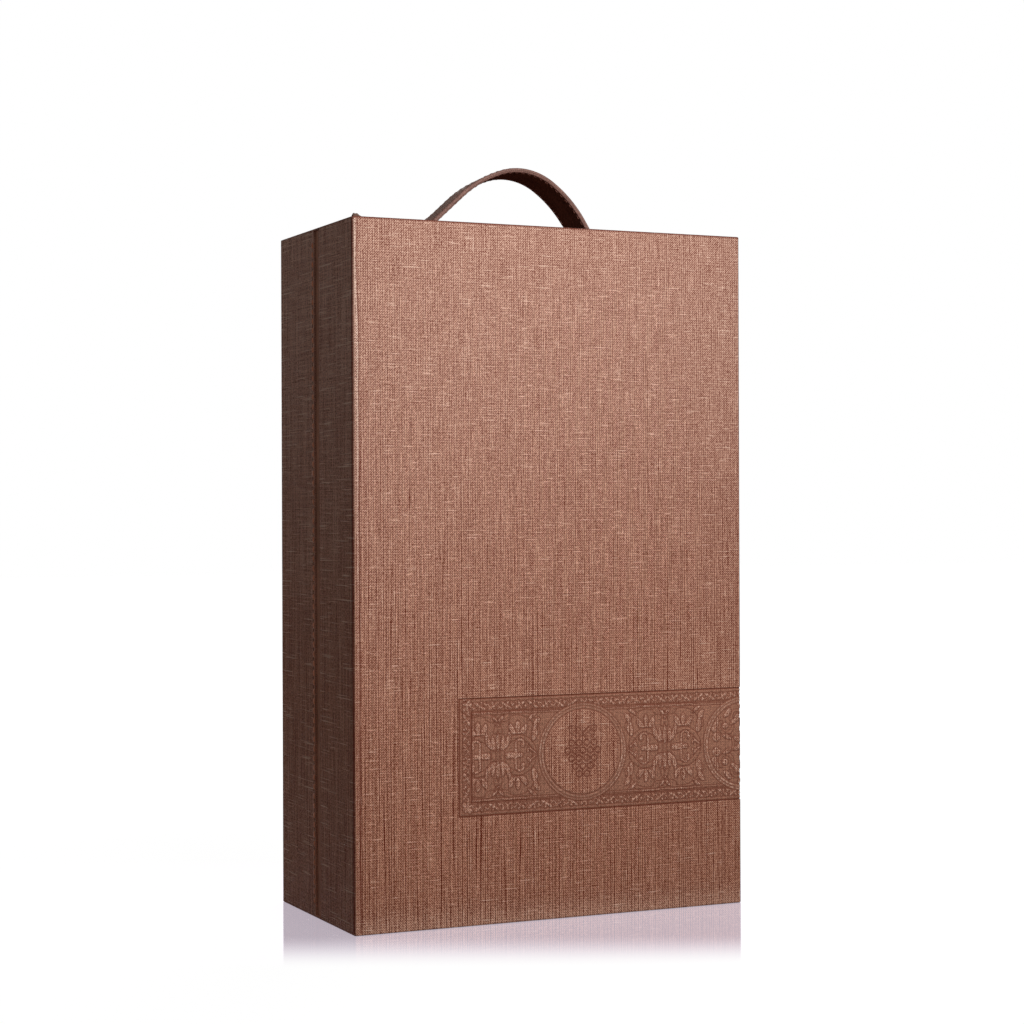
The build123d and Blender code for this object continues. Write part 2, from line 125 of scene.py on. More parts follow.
class Graph:
    # the nodes of a new material, or of a new world
    def __init__(self, name, kind="materials"):
        self.owner = getattr(bpy.data, kind).new(name)
        self.owner.use_nodes = True
        self.tree = self.owner.node_tree
        self.tree.nodes.clear()

    def node(self, kind, settings=None, inputs=None, out=0):
        made = self.tree.nodes.new(kind)
        for key, value in (settings or {}).items():
            setattr(made, key, value)
        for key, value in (inputs or {}).items():
            if isinstance(value, Wire):
                self.tree.links.new(value.socket, made.inputs[key])
            else:
                made.inputs[key].default_value = value
        return Wire(self, made.outputs[out]) if len(made.outputs) else None

    def parts(self, vector):
        return [self.node("ShaderNodeSeparateXYZ", None, {0: vector}, out=axis) for axis in range(3)]

    def vector(self, x, y, z=0.0):
        return self.node("ShaderNodeCombineXYZ", None, {0: x, 1: y, 2: z})

    def place(self):
        return self.node("ShaderNodeTexCoord", out="Object")

    def facing(self):
        # for each axis 1 where the surface faces along it, either way
        return [part.size().step(0.6, 0.8) for part in self.parts(self.node("ShaderNodeTexCoord", out="Normal"))]

    def rays(self, kind):
        return self.node("ShaderNodeLightPath", out="Is " + kind + " Ray")

    def noise(self, vector, scale=1.0, detail=2.0, roughness=0.5):
        inputs = {"Vector": vector, "Scale": scale, "Detail": detail, "Roughness": roughness}
        return self.node("ShaderNodeTexNoise", None, inputs)

    def stretched(self, across, up):
        # noise with its own number of steps per metre across and up; shift picks another pattern
        def noise(acrossRate, upRate, shift=0.0, detail=1.0, roughness=0.5):
            return self.noise(self.vector(across * acrossRate, up * upRate, shift), 1.0, detail, roughness)
        return noise

    def blend(self, factor, first, second, kind="MIX"):
        # colour mix; colours are red, green, blue
        inputs = {0: factor}
        for key, value in ((6, first), (7, second)):
            inputs[key] = value if isinstance(value, Wire) else (*value, 1.0)
        return self.node("ShaderNodeMix", {"data_type": "RGBA", "blend_type": kind}, inputs, out=2)

    def tones(self, factor, color, deep, pale=1.0):
        # from the colour times deep, where factor is 0, to the colour times pale, where it is 1
        return self.blend(factor, *[[min(1.0, part * times) for part in color] for times in (deep, pale)])

    def attribute(self, name):
        return self.node("ShaderNodeAttribute", {"attribute_name": name}, out=2)

    def finish(self, color, roughness, relief, depth, more):
        # a Principled surface whose bump is relief (0 to 1) times depth in metres
        bump = self.node("ShaderNodeBump", None, {"Height": relief, "Distance": depth, "Strength": 1.0})
        inputs = {"Base Color": color, "Roughness": roughness, "Normal": bump, **more}
        self.node("ShaderNodeOutputMaterial", None, {0: self.node("ShaderNodeBsdfPrincipled", None, inputs)})
        return self.owner


def faceCoordinates(graph):
    # distances along a box face: across it, and up it (or back, on the top and bottom)
    x, y, z = graph.parts(graph.place())
    sideways, flat = graph.facing()[::2]
    return x + (y - x) * (sideways * (1 - flat)), z + (y - z) * flat


# Pressed linen grain: two sets of threads crossing, thin dark partings between the upright ones, and slubs

linen = {
    "across": 0.00128, "up": 0.00124, "parting": 0.0020, "bump": 0.00012, "roughness": 0.55, "specular": 0.012,
    # colours: the plain light tone carries a painted sheen that the low one lacks; the tones for the narrow faces, the
    # foot, the brightest threads, the bead and the band's crests are painted sheen, light and highlights
    "light": (0.80, 0.475, 0.357), "lightLow": (0.86, 0.412, 0.268), "sheenSide": (0.98, 0.56, 0.42),
    "footLight": (0.97, 0.52, 0.36), "dark": (0.13, 0.010, 0.001), "pressed": (0.435, 0.198, 0.130),
    "gleam": (1.0, 0.72, 0.58), "highlight": (1.0, 0.74, 0.60), "highlightBand": (1.0, 0.62, 0.47),
    # in metres: where the painted shade along folds and the parting rim and the seam's painted highlight lie and how
    # they fade, and the heights between which each tone changes, painted sheen and painted light included
    "edgeLine": (0.000385, 0.0011), "rim": 0.00525, "rimLine": (0.0005, 0.0012),
    "seam": 0.0026, "seamLine": (0.0004, 0.0011), "seamSide": (-0.1095, -0.1085),
    "partings": (0.06, 0.31), "sheenRise": (0.0, 0.34), "sideTop": (0.12, 0.34), "sideFoot": (0.0, 0.12),
    "foot": (0.0, 0.016), "footLightLift": (0.0, 0.010), "sideLightLift": (0.15, 0.33), "halfway": (0.20, 0.12),
}


def linenGrain(noise, across, up, side, low):
    # value 0 to 1 and height; each thread is a sine, their product makes the dots, and their sum a fine slant;
    # side is 1 on the narrow faces, and low 1 near the foot, where the upright threads part more
    warp = across * (2 * math.pi / linen["across"]) + noise(26, 17) * 5.0
    weft = up * (2 * math.pi / linen["up"]) + noise(15, 30, 9.0) * 4.0
    upright, level, slant = warp.sine(), weft.sine(), (warp + weft + 1.6).sine()
    dots = upright * level
    thick = noise(2200, 62, 0.0, 2, 0.6) - 0.5
    thin = noise(70 - side * 45, 1900, 7.0, 2, 0.6) - 0.5
    # a parting lies where a slow sine across the face passes zero
    slow = across * (math.pi / linen["parting"]) + noise(210, 6, 4.0) * 7.0
    narrow = 1 - slow.sine().size().step(0.10, 0.40)
    broken = noise(330, 13, 17.0, 1, 0.4).step(0.32, 0.50)
    parted = narrow * broken * (0.18 + low * (0.82 - across.step(-0.07, 0.11) * 0.20))
    streak = noise(520, 18, 21.0) - 0.5
    slub = noise(95 - side * 62, 1400, 3.0).step(0.62, 0.74)
    raised = noise(1500, 80, 31.0).step(0.62, 0.76)
    dash = noise(160, 1200, 13.0).step(0.68, 0.76)
    tone = noise(9, 7, 5.0, 2) - 0.5
    speck = noise(1000, 1000, 29.0) - 0.5
    bright = dots.step(0.1, 0.9) - 0.18
    value = 0.515 + dots * 0.26 + bright * 0.46 + slant * 0.45 + upright * 0.14 + level * 0.10 * (1 - side)
    value = value + thick * (0.92 + low * 0.02) + thin * (0.44 + side * (0.73 - low * 0.60) - low * 0.10)
    value = value + speck * 1.25 + streak * (0.10 + side * 0.76) + tone * 0.04 + slub * (0.56 + side * 0.70)
    value = value + raised * 0.38 - dash * 0.22 - parted * 0.50
    height = dots * 0.5 + slant * 0.3 + upright * 0.3 + thick * 1.2 + thin * 0.9 + slub * 0.7 - parted * 1.6
    return value, height, tone


def outerEdge(x, y, z):
    # 1 along the closed box's upright and top edges, where the leather is folded over the board and painted shade
    # darkens it
    fromSide = case["right"] * mm - x.size()
    fromPanel = case["back"] * mm - y.size()
    fromEnd = case["top"] * mm - z
    nearer = fromSide.atMost(fromPanel).atLeast(fromSide.atLeast(fromPanel).atMost(fromEnd))
    return 1 - nearer.step(*linen["edgeLine"])


def linenLeather(name, pressed=False, creased=False):
    # its attributes: how far a press has left the grain, how much painted shade a crease or groove gets, and how much
    # painted highlight the bead or a crest gets
    graph = Graph(name)
    across, up = faceCoordinates(graph)
    noise = graph.stretched(across, up)
    side, facing = graph.facing()[:2]
    x, y, z = graph.parts(graph.place())
    # the opening side, seen squarely from the right, is nearer to the front in its grain
    side = side * (1 - x.step(-0.01, 0.01) * 0.75)
    front = 1 - side
    value, height, tone = linenGrain(noise, across, up, side, 1 - z.step(*linen["partings"]))
    # painted light on the narrow faces: paler near their top and near their foot
    sideSheen = side * (z.step(*linen["sideTop"]) + (1 - z.step(*linen["sideFoot"])) * 0.5)
    # a painted sheen: paler towards the top, less so on the narrow faces
    light = graph.blend(z.step(*linen["sheenRise"]) * (1 - side * 0.5), linen["lightLow"], linen["light"])
    light = graph.blend(sideSheen, light, linen["sheenSide"])
    # painted light along the front's foot
    light = graph.blend((1 - z.step(*linen["foot"])) * front, light, linen["footLight"])
    middle, reach = linen["halfway"]
    halfway = (1 - (z - middle).size().step(0.0, reach)) * x.step(-0.09, 0.02) * front
    # darker about halfway up the front's left part; painted light makes the narrow faces brighter higher up and the
    # front brighter along its foot
    value = value - halfway * 0.04 + side * z.step(*linen["sideLightLift"]) * 0.07
    value = value + (1 - z.step(*linen["footLightLift"])) * front * 0.10
    color = graph.blend(value, linen["dark"], light)
    # a painted highlight on the brightest threads
    color = graph.blend(value.step(0.80, 1.50) * 0.8, color, linen["gleam"])
    roughness = linen["roughness"]
    # painted shade along the parting rim and along the folded edges
    rim = (1 - (y + linen["rim"]).size().step(*linen["rimLine"])) * (1 - facing)
    shade = outerEdge(x, y, z).atLeast(rim) * 0.8
    if creased:
        # the bead along the left corner keeps its own lines
        bead = (1 - x.step(-0.107, -0.106)) * (1 - y.step(-0.0548, -0.0542)) * (1 - z.step(0.353, 0.354))
        shade = shade * (1 - bead)
    if pressed:
        rubs = noise(620, 620, 11.0).step(0.30, 0.60)
        grain = graph.attribute("grain")
        grain = grain * (1 - (1 - grain.step(0.91, 0.97)) * (1 - rubs) * 0.5)
        fine = noise(1500, 1500, 2.0, 2) - 0.5
        smooth = graph.tones(0.5 + fine * 2.1 + tone * 0.4 + (value - 0.5) * 0.55, linen["pressed"], 0.5, 1.5)
        color = graph.blend(grain, smooth, color)
        height = fine * 0.5 + height * (0.25 + grain * 0.75)
        roughness = roughness - 0.06 + grain * 0.06
    if pressed or creased:
        # painted shade from the crease attribute, and a painted highlight along the bead and in specks on the band's
        # crests
        shade = shade.atLeast(graph.attribute("crease"))
        highlight = graph.attribute("wearAndHighlight") * value.step(0.15, 0.75)
        if pressed:
            highlight = (highlight * noise(900, 900, 37.0).step(0.42, 0.60) * 2.6).atMost(0.95)
        color = graph.blend(highlight, color, linen["highlightBand" if pressed else "highlight"])
    else:
        # a painted highlight along the tray leather's edge beside the hinge seam
        seam = (1 - (y - linen["seam"]).size().step(*linen["seamLine"])) * (1 - x.step(*linen["seamSide"]))
        color = graph.blend(seam * 0.55, color, light)
    # painted shade: folded edges, the rim and creases go towards the dark tone
    color = graph.blend(shade, color, linen["dark"])
    return graph.finish(color, roughness, height, linen["bump"], {"Specular IOR Level": linen["specular"]})


# the strap's line, section and stitches, in millimetres
strap = {
    "rise": 38.2, "peakX": 6.0, "shoulder": 1.93, "rootStand": 0.5,
    "left": {"rootX": -45.2, "rootRadius": 11.7, "slope": 0.6, "crown": 0.41},
    "right": {"rootX": 49.8, "rootRadius": 7.2, "slope": 0.73, "crown": 0.58},
    "foldRadius": 2.6, "endRun": 20.0, "underTop": 349.0, "front": -1.4, "width": 22.6, "thickness": 2.44,
    "edge": 0.95, "pinch": 0.28, "tilt": 1.2,
    "stitchInset": 1.9, "stitchPitch": 3.8, "stitchReach": 60.0, "stitchLow": 2.5, "stitch": (3.1, 0.62, 0.5),
}


def strapLeather(name, color, under, rim):
    # smooth leather with a trace of the grain, from the strap's own map, which runs on past the strap's width below it
    graph = Graph(name)
    across, up, unused = graph.parts(graph.node("ShaderNodeUVMap", {"uv_map": "cloth"}))
    noise = graph.stretched(across, up)
    width = strap["width"] * mm
    weave = (across * (2 * math.pi / linen["across"])).sine() * (up * (2 * math.pi / linen["up"])).sine()
    grain = noise(1200, 900, 0.0, 3) - 0.5
    wearAndHighlight = noise(160, 70, 4.0, 2) - 0.5
    below = across.step(width - 0.0008, width + 0.0008)
    fromRim = (across - width).size().atMost(across.size()).atMost((across - 2 * width).size())
    shade = graph.blend(1 - fromRim.step(0.0003, 0.0011), graph.blend(below, color, under), rim)
    toned = graph.blend(weave * 0.12 + grain * 1.1 + wearAndHighlight * 0.7 + 0.5, (0.0, 0.0, 0.0), shade)
    color = graph.blend(0.25, graph.blend(1.0, toned, toned, "ADD"), shade)
    more = {"Specular IOR Level": 0.0, "Coat Weight": (1 - below) * 0.07, "Coat Roughness": 0.38}
    return graph.finish(color, 0.46 + wearAndHighlight * 0.3, weave * 0.4 + grain, 0.00012, more)


def plainLeather(name, color, roughness):
    graph = Graph(name)
    fine = graph.noise(graph.place(), 1400, 3)
    shade = fine * 0.5 + graph.noise(graph.place(), 60) * 0.5
    color = graph.tones(shade.step(0.35, 0.65), color, 0.72, 1.25)
    return graph.finish(color, roughness + (fine - 0.5) * 0.2, fine, 0.00012, {"Specular IOR Level": 0.06})


def wovenFabric(name, color):
    graph = Graph(name)
    across, up = faceCoordinates(graph)
    turn = math.pi / 0.0007
    weave = (across * turn).sine() * (up * turn).sine()
    uneven = graph.stretched(across, up)(500, 60, 0.0, 2)
    value = 0.5 + weave * 0.3 + (uneven - 0.5) * 0.6
    color = graph.tones(value.step(0.0, 1.0), color, 0.7)
    return graph.finish(color, 0.8 - value * 0.1, weave + uneven, 0.00008, {"Sheen Weight": 0.2})


def velvetCloth(name, color):
    graph = Graph(name)
    pile = graph.noise(graph.place(), 2400)
    brushed = graph.noise(graph.place(), 26, 3, 0.55)
    color = graph.tones(((pile - 0.5) * 0.5 + brushed).step(0.25, 0.75), color, 0.88, 1.05)
    more = {"Sheen Weight": 0.6, "Sheen Roughness": 0.35, "Specular IOR Level": 0.2}
    return graph.finish(color, 0.92 - brushed * 0.1, pile, 0.0003, more)


def satinCloth(name, color):
    graph = Graph(name)
    x, y, z = graph.parts(graph.place())
    threads = graph.stretched(x, z)(1900, 90, 0.0, 2)
    # painted light and shade as of broad folds, mixed with the threads
    foldShading = graph.noise(graph.place(), 14)
    color = graph.tones((threads * 0.5 + foldShading * 0.5).step(0.35, 0.65), color, 0.8, 1.1)
    return graph.finish(color, 0.30 + threads * 0.16, threads, 0.00006, {"Sheen Weight": 0.25})


def fibreBoard(name, color):
    graph = Graph(name)
    fibres = graph.noise(graph.place(), 900, 4, 0.7)
    clouds = graph.noise(graph.place(), 40)
    color = graph.tones((fibres * 0.6 + clouds * 0.4).step(0.35, 0.65), color, 0.75)
    return graph.finish(color, 0.85 - fibres * 0.1, fibres, 0.0001, {})


def brushedMetal(name, color):
    graph = Graph(name)
    x, y, z = graph.parts(graph.place())
    brush = graph.noise(graph.vector(x * 300, y * 6000, z * 300), 1.0, 3)
    color = graph.tones(brush.step(0.35, 0.65), color, 0.8)
    return graph.finish(color, 0.25 + brush * 0.2, brush, 0.00002, {"Metallic": 1.0})


def twistedThread(name, color, gloss):
    graph = Graph(name)
    x, y, z = graph.parts(graph.place())
    plies = ((x + y + z) * 9000).sine()
    hairs = graph.noise(graph.vector(x * 3000, y * 3000, z * 3000))
    color = graph.tones((plies * 0.35 + hairs).step(0.0, 0.75), color, 0.45)
    return graph.finish(color, 0.36 + hairs * 0.2, plies, 0.00008, {"Specular IOR Level": gloss})


# one for each material slot of the CAD, and four more for pieces made here
materials = {
    "linen_leatherette": linenLeather("linen_leatherette"),
    "lidSkin": linenLeather("folded_leatherette", creased=True),
    "band": linenLeather("pressed_band_leatherette", pressed=True),
    # the strap's outer colour is its own, made paler to paint the sheen on its top
    "strap_leather": strapLeather("strap_leather", (0.43, 0.265, 0.215), (0.070, 0.028, 0.020), (0.27, 0.150, 0.125)),
    "fold": plainLeather("folded_corner_leather", (0.15, 0.085, 0.062), 0.5),
    "hinge_leather": plainLeather("hinge_leather", (0.43, 0.185, 0.115), 0.6),
    "strap_core": fibreBoard("strap_core", (0.30, 0.20, 0.12)),
    "board": fibreBoard("fibreboard", (0.42, 0.28, 0.16)),
    "lining_fabric": wovenFabric("lining_fabric", (0.62, 0.50, 0.35)),
    "velvet": velvetCloth("champagne_velvet", (0.56, 0.42, 0.27)),
    "satin": satinCloth("champagne_satin", (0.70, 0.57, 0.40)),
    "foam": fibreBoard("foam", (0.70, 0.66, 0.56)),
    "card": fibreBoard("grey_card", (0.30, 0.28, 0.24)),
    "thread": twistedThread("russet_thread", (1.0, 0.40, 0.23), 0.08),
    "handleThread": twistedThread("dark_thread", (0.30, 0.13, 0.10), 0.0),
    "magnet": brushedMetal("nickel", (0.66, 0.66, 0.67)),
    "steel": brushedMetal("zinc_plated_steel", (0.56, 0.57, 0.59)),
}


def dressNodes():
    for part in frame["record"]["subparts"]:
        for slot in frame["nodes"][part["node"]].material_slots:
            slot.material = materials[part["material_slot"]]


dressNodes()
print("materials made")


# Meshes from whole arrays

def makePiece(name, points, faces, material, body, smooth=True):
    # points in millimetres; the slot is the material's own where none is given
    mesh = bpy.data.meshes.new(name)
    mesh.from_pydata((np.asarray(points, float) * mm).tolist(), [], faces)
    mesh.polygons.foreach_set("use_smooth", np.full(len(mesh.polygons), smooth))
    mesh.materials.append(materials[material])
    mesh.update()
    piece = link(name, mesh)
    if body:
        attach(piece, body)
    return piece


def cloud(x, y, z):
    # rows of x, y, z from arrays that spread over each other
    return np.stack(np.broadcast_arrays(x, y, z), axis=-1).reshape(-1, 3)


def gridFaces(rows, columns, closed=False, flip=False, start=0):
    # quads of a grid whose points are numbered row by row; closed joins the ends of each row
    across = np.arange(columns if closed else columns - 1)
    r, c = [part.ravel() for part in np.meshgrid(np.arange(rows - 1), across, indexing="ij")]
    beside = (c + 1) % columns
    quads = [r * columns + c, r * columns + beside, (r + 1) * columns + beside, (r + 1) * columns + c]
    return (np.stack(quads[::-1] if flip else quads, axis=1) + start).tolist()


def tubeFaces(rows, columns, flip=False, start=0):
    # a run of closed rings, with a face over each end
    last = start + (rows - 1) * columns
    ends = [list(range(start, start + columns))[::-1], list(range(last, last + columns))]
    return gridFaces(rows, columns, True, flip, start) + [end[::-1] if flip else end for end in ends]


def stacked(rings, levels):
    # each ring of x and y at its own level
    return np.concatenate([np.column_stack([ring, np.full(len(ring), z)]) for ring, z in zip(rings, levels)])


def setAttribute(piece, name, values):
    # values for the mesh's first points; the others keep 0
    filled = np.zeros(len(piece.data.vertices), np.float32)
    filled[:values.size] = values.ravel()
    piece.data.attributes.new(name, "FLOAT", "POINT").data.foreach_set("value", filled)


def setUv(piece, points):
    # one pair for each point of the mesh, turned from millimetres to metres
    layer = piece.data.uv_layers.new(name="cloth")
    index = np.empty(len(piece.data.loops), np.int64)
    piece.data.loops.foreach_get("vertex_index", index)
    layer.data.foreach_set("uv", (np.asarray(points, np.float32) * mm)[index].ravel())


def ease(t):
    t = np.clip(t, 0.0, 1.0)
    return t * t * (3 - 2 * t)


def bell(value, width):
    return np.exp(-(value / width) ** 2)


def rounded(distance, radius):
    # 0 at an edge and 1 from radius inwards, along a quarter circle
    return np.sqrt(np.clip(1 - (1 - np.minimum(distance / radius, 1)) ** 2, 0, 1))


# Lid skin: the leather round the hinge side, the front and the opening side, with a bead along the left corner

skin = {
    "bottom": 1.0, "top": 354.0, "rimRound": 0.45, "beadWidth": 3.1, "beadWidthTop": 1.9, "beadLift": 0.10,
    "crease": 0.22, "sideCrease": 1.3, "sideDepth": 0.10, "swell": 0.05, "upper": (120, 200),
    "rows": (0.02, 0.12, 0.35), "upperRows": 310,  # rows of points this near to an edge keep its shading narrow
    "flapReach": 6.0, "flapDepth": 12.0, "flapLow": 6.0, "flapHigh": 349.0,
}


def lidOutline():
    # points and outward directions round the lid, from the hinge rim to the opening rim; the right mirrors the left
    r, q = case["cornerRound"], skin["rimRound"]
    quarter = np.linspace(0, math.pi / 2, 9)
    sines, cosines = np.sin(quarter), np.cos(quarter)
    run = case["front"] - case["lidRim"] + r
    depth = np.concatenate([np.linspace(-q, -24, 10), np.linspace(-24, -45, 4)[1:], np.linspace(-45, run, 40)[1:]])
    face = np.concatenate([
        np.arange(0, 5.0, 0.16), np.linspace(5, 40, 9),
        band["start"] - case["left"] - r + np.array([-0.35, -0.12, -0.03, 0.03]),
        np.linspace(64, case["right"] - case["left"] - 2 * r, 22),
    ])
    rimOut = np.column_stack([-sines, cosines])[:-1]
    rim = np.array([case["left"] + q, case["lidRim"] - q]) + q * rimOut
    side = np.column_stack([np.full(len(depth), case["left"]), case["lidRim"] + depth])
    turnOut = np.column_stack([-cosines, -sines])[1:-1]
    turn = np.array([case["left"] + r, case["front"] + r]) + r * turnOut
    front = np.column_stack([case["left"] + r + face, np.full(len(face), case["front"])])
    points = np.concatenate([rim, side, turn])
    out = np.concatenate([rimOut, np.tile([-1.0, 0.0], (len(depth), 1)), turnOut])
    halves = ((points, front), (out, np.tile([0.0, -1.0], (len(face), 1))))
    return [np.concatenate([left, middle, (left * (-1, 1))[::-1]]) for left, middle in halves]


def makeLidSkin():
    outline, direction = lidOutline()
    x, y = outline.T
    outX, outY = direction.T
    hair, close, clear = skin["rows"]
    bottom, low, high, top = skin["bottom"], band["bottom"], band["bottom"] + band["height"], skin["top"]
    levels = np.concatenate([
        [bottom], np.linspace(bottom + close, low - clear, 16), [low - close, low - hair],
        np.linspace(low + hair, high - hair, 20), [high + hair, high + close],
        np.linspace(high + clear, skin["upperRows"], 50), np.linspace(skin["upperRows"], top - close, 24)[1:], [top],
    ])
    z = levels[:, None]
    fromCorner, fromFront = x - case["left"], y - case["front"]
    onFront = fromFront < 0.4
    width = skin["beadWidthTop"] + (skin["beadWidth"] - skin["beadWidthTop"]) * ease((case["top"] - 8 - z) / 70)
    width = width + 0.12 * np.sin(z / 9.0) + 0.08 * np.sin(z / 3.7 + 1.0)
    across = fromCorner / width
    valley = bell(fromCorner - width - 0.25, 0.38)
    sideValley = bell(fromFront - skin["sideCrease"], 1.1) * (x < case["left"] + 0.3)
    bead = skin["beadLift"] * np.sin(np.clip(across, 0, 1) * math.pi)
    lift = np.where(onFront, bead - skin["crease"] * valley, 0.0) - skin["sideDepth"] * sideValley
    swell = skin["swell"] * np.sin(z / 41.0 + 0.7) * np.sin(x / 37.0)
    lift = lift + swell * onFront * ease(fromCorner / 20) * ease((case["right"] - x) / 20)
    lift = np.where((z > low) & (z < high) & (x > band["start"]), -band["recess"], lift)
    start, length = skin["upper"]
    upper = ease((z - start) / length)
    onBead = ease((1.05 - across) / 0.1)
    # painted shade in the valley beside the bead, over the bead's lower part and in the side's valley; a painted
    # highlight along the bead's crest, stronger higher up
    frontCrease = np.maximum((0.8 - 0.3 * upper) * valley, 0.14 * (1 - upper) * onBead)
    crease = np.where(onFront, frontCrease, 0.9 * sideValley)
    wearAndHighlight = bell(across - 0.72, 0.27) * (0.10 + 0.75 * upper) * onFront
    shape = (len(levels), len(x))

    def sheet(*parts):
        return np.stack([np.broadcast_to(part, shape) for part in parts], axis=-1)

    # the inner face lies one leather thickness inside, with square corners
    inset = case["leather"]
    inner = sheet(np.clip(x, case["left"] + inset, case["right"] - inset), np.maximum(y, case["front"] + inset), z)
    ring = np.concatenate([sheet(x + lift * outX, y + lift * outY, z), inner[:, ::-1]], axis=1)
    rows, columns = ring.shape[:2]
    i = np.arange(len(x) - 1)
    cap = np.stack([i, i + 1, columns - 2 - i, columns - 1 - i], axis=1)
    faces = gridFaces(rows, columns, True) + cap[:, ::-1].tolist() + (cap + (rows - 1) * columns).tolist()
    # the leather turned over the opening rim and inside
    edge, fold0, fold1 = case["lidRim"], case["right"] - skin["flapReach"], case["right"] - inset
    a = np.linspace(0, math.pi / 2, 7)
    end = edge - skin["flapDepth"]
    hook = np.concatenate([
        [[fold1, edge]], np.column_stack([fold0 + inset * (1 - np.sin(a)), edge - inset * (1 - np.cos(a))]),
        [[fold0, end], [fold0 + inset, end], [fold0 + inset, edge - inset], [fold1, edge - inset]],
    ])
    heights = np.linspace(skin["flapLow"], skin["flapHigh"], 30)
    faces += tubeFaces(len(heights), len(hook), start=rows * columns)
    points = np.concatenate([ring.reshape(-1, 3), stacked([hook] * len(heights), heights)])
    piece = makePiece("lid_leather", points, faces, "lidSkin", "lid")
    for name, values in (("crease", crease), ("wearAndHighlight", wearAndHighlight)):
        setAttribute(piece, name, np.concatenate([np.broadcast_to(values, shape), np.zeros(shape)], axis=1))
    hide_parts("lid_wrap_leather")


# Folded corner: a pinch of leather that stands up at the lid's top left corner

fold = {"length": 6.2, "depth": 2.6, "height": 1.7, "inset": (0.35, 0.25), "sunk": (0.12, 0.15)}


def makeCornerFold():
    # height rises steeply from the corner and falls away along the edge; each slice is a rounded hump
    u = np.linspace(0, 1, 36)[:, None]
    a = np.linspace(0, math.pi, 15)
    rise = np.clip(u / 0.16, 0, 1) ** 0.5 * (1 - ease((u - 0.28) / 0.72)) * (1 + 0.12 * np.sin(u * 17))
    half = fold["depth"] / 2 * np.sqrt(np.clip(rise, 0.0004, 1)) * (1 - 0.35 * u)
    x = case["left"] + fold["inset"][0] + u * fold["length"] + 0 * a
    y = case["front"] + fold["inset"][1] + fold["depth"] / 2 - half * np.cos(a)
    z = case["top"] - fold["sunk"][0] + rise * fold["height"] * np.sin(a) ** 0.8
    x, y = [np.concatenate([part, part[:, -2:0:-1]], axis=1) for part in (x, y)]
    z = np.concatenate([z, np.full((len(u), len(a) - 2), case["top"] - fold["sunk"][1])], axis=1)
    makePiece("corner_fold", cloud(x, y, z), tubeFaces(*x.shape, flip=True), "fold", "lid")


# Pressed band, in millimetres along it (s) and up it (t): smooth ribbons, and shapes that keep the linen

band = {
    "start": -54.0, "bottom": 55.0, "height": 60.0, "middle": 30.0, "recess": 0.4, "cell": 0.37, "floor": 0.005,
    "groove": 0.02, "ground": 0.12, "ribbon": 0.25, "flush": 0.39, "slope": 0.45, "stamp": 0.17,
    "frame": (0.8, 2.2, 7.0), "unit": 7.4, "circles": (69.8, 165.8), "motifs": (21.8, 117.8, 213.8),
    "ringRadius": 23.7, "ringHalf": 1.45,
}

# one quarter of each ornament about its middle. arcs: x, y, radius, from and to in degrees, points, half-width,
# growth; leaves: x, y, degrees, length, half-width, bend; buds: x, y, radius; bars: two ends and half-widths
motif = {
    # two roundels about an upright axis, a sheaf of leaves and a fan above and below, inside a wide ogive
    "arcs": ((11.4, 0, 9.1, 0, 180, 50, 1.05), (10.4, 9.4, 12.2, 8, 166, 50, 1.0), (3.6, 21.4, 3.4, 195, 320, 16, 0.6)),
    "leaves": (
        (0, 2.6, 90, 9.2, 1.0), (1.7, 3.0, 80, 7.6, 0.95, -0.3), (2.6, 3.2, 68, 10.0, 1.2, -1.2),
        (9.6, 0.5, 178, 5.0, 1.0), (10.6, 0.3, 2, 3.4, 0.8), (9.3, 11.6, 118, 5.6, 1.25, 0.7),
        (11.0, 12.0, 88, 5.6, 1.25), (12.8, 11.6, 52, 5.2, 1.25, -0.6), (0.5, 17.4, 48, 3.8, 0.75),
        (3.4, 22.2, 0, 13.4, 0.55), (19.6, 7.4, 82, 6.8, 1.6, -0.5), (20.8, 13.6, 62, 5.6, 1.35, 0.5),
        (17.0, 17.6, 35, 5.6, 0.8, 0.4), (21.6, 0.6, 140, 6.2, 0.5, 0.4), (16.6, 1.4, 60, 3.0, 0.6),
    ),
    "buds": ((5.3, 0.3, 1.25), (0.01, 15.6, 0.8)),
    "bars": ((10.0, 0, 10.0, 6.2, 0.85, 0.6), (7.6, 11.3, 15.0, 11.3, 0.45, 0.45)),
    "curls": ((12.6, 5.7, 2.7, 170, -200, 0.75, 1.1),),
}
roundel = {
    # leaves, buds and curling ribbons that fill a ring
    "arcs": (
        (11.6, 9.6, 4.7, 130, 400, 40, 0.75, -1.2), (11.0, 0, 4.4, 100, 180, 18, 0.6),
        (4.6, 14.6, 3.6, -60, 150, 26, 0.6, -0.8),
    ),
    "leaves": (
        (1.2, 0.6, 28, 6.4, 1.2), (0.6, 1.2, 66, 6.6, 1.2), (18.6, 6.8, 104, 8.0, 2.1, -0.6),
        (8.6, 2.6, 24, 5.4, 1.1, 0.4), (12.4, 14.6, 128, 5.6, 1.35, 0.5), (8.2, 10.4, 150, 5.4, 1.2, -0.5),
        (1.0, 18.6, 40, 4.4, 0.9), (1.2, 8.6, 78, 5.2, 1.0),
    ),
    "buds": ((17.3, 3.9, 2.4), (11.8, 9.6, 1.7), (4.4, 14.4, 1.5)),
    "bars": (), "curls": (),
}


def arc(x, y, radius, start, end, count, half, growth=0.0):
    # a stroke is its points and its half-width at each; a spiral where the radius grows
    a = np.radians(np.linspace(start, end, count))
    r = np.linspace(radius, radius + growth, count)
    return np.stack([x + r * np.cos(a), y + r * np.sin(a)], axis=1), np.full(count, half)


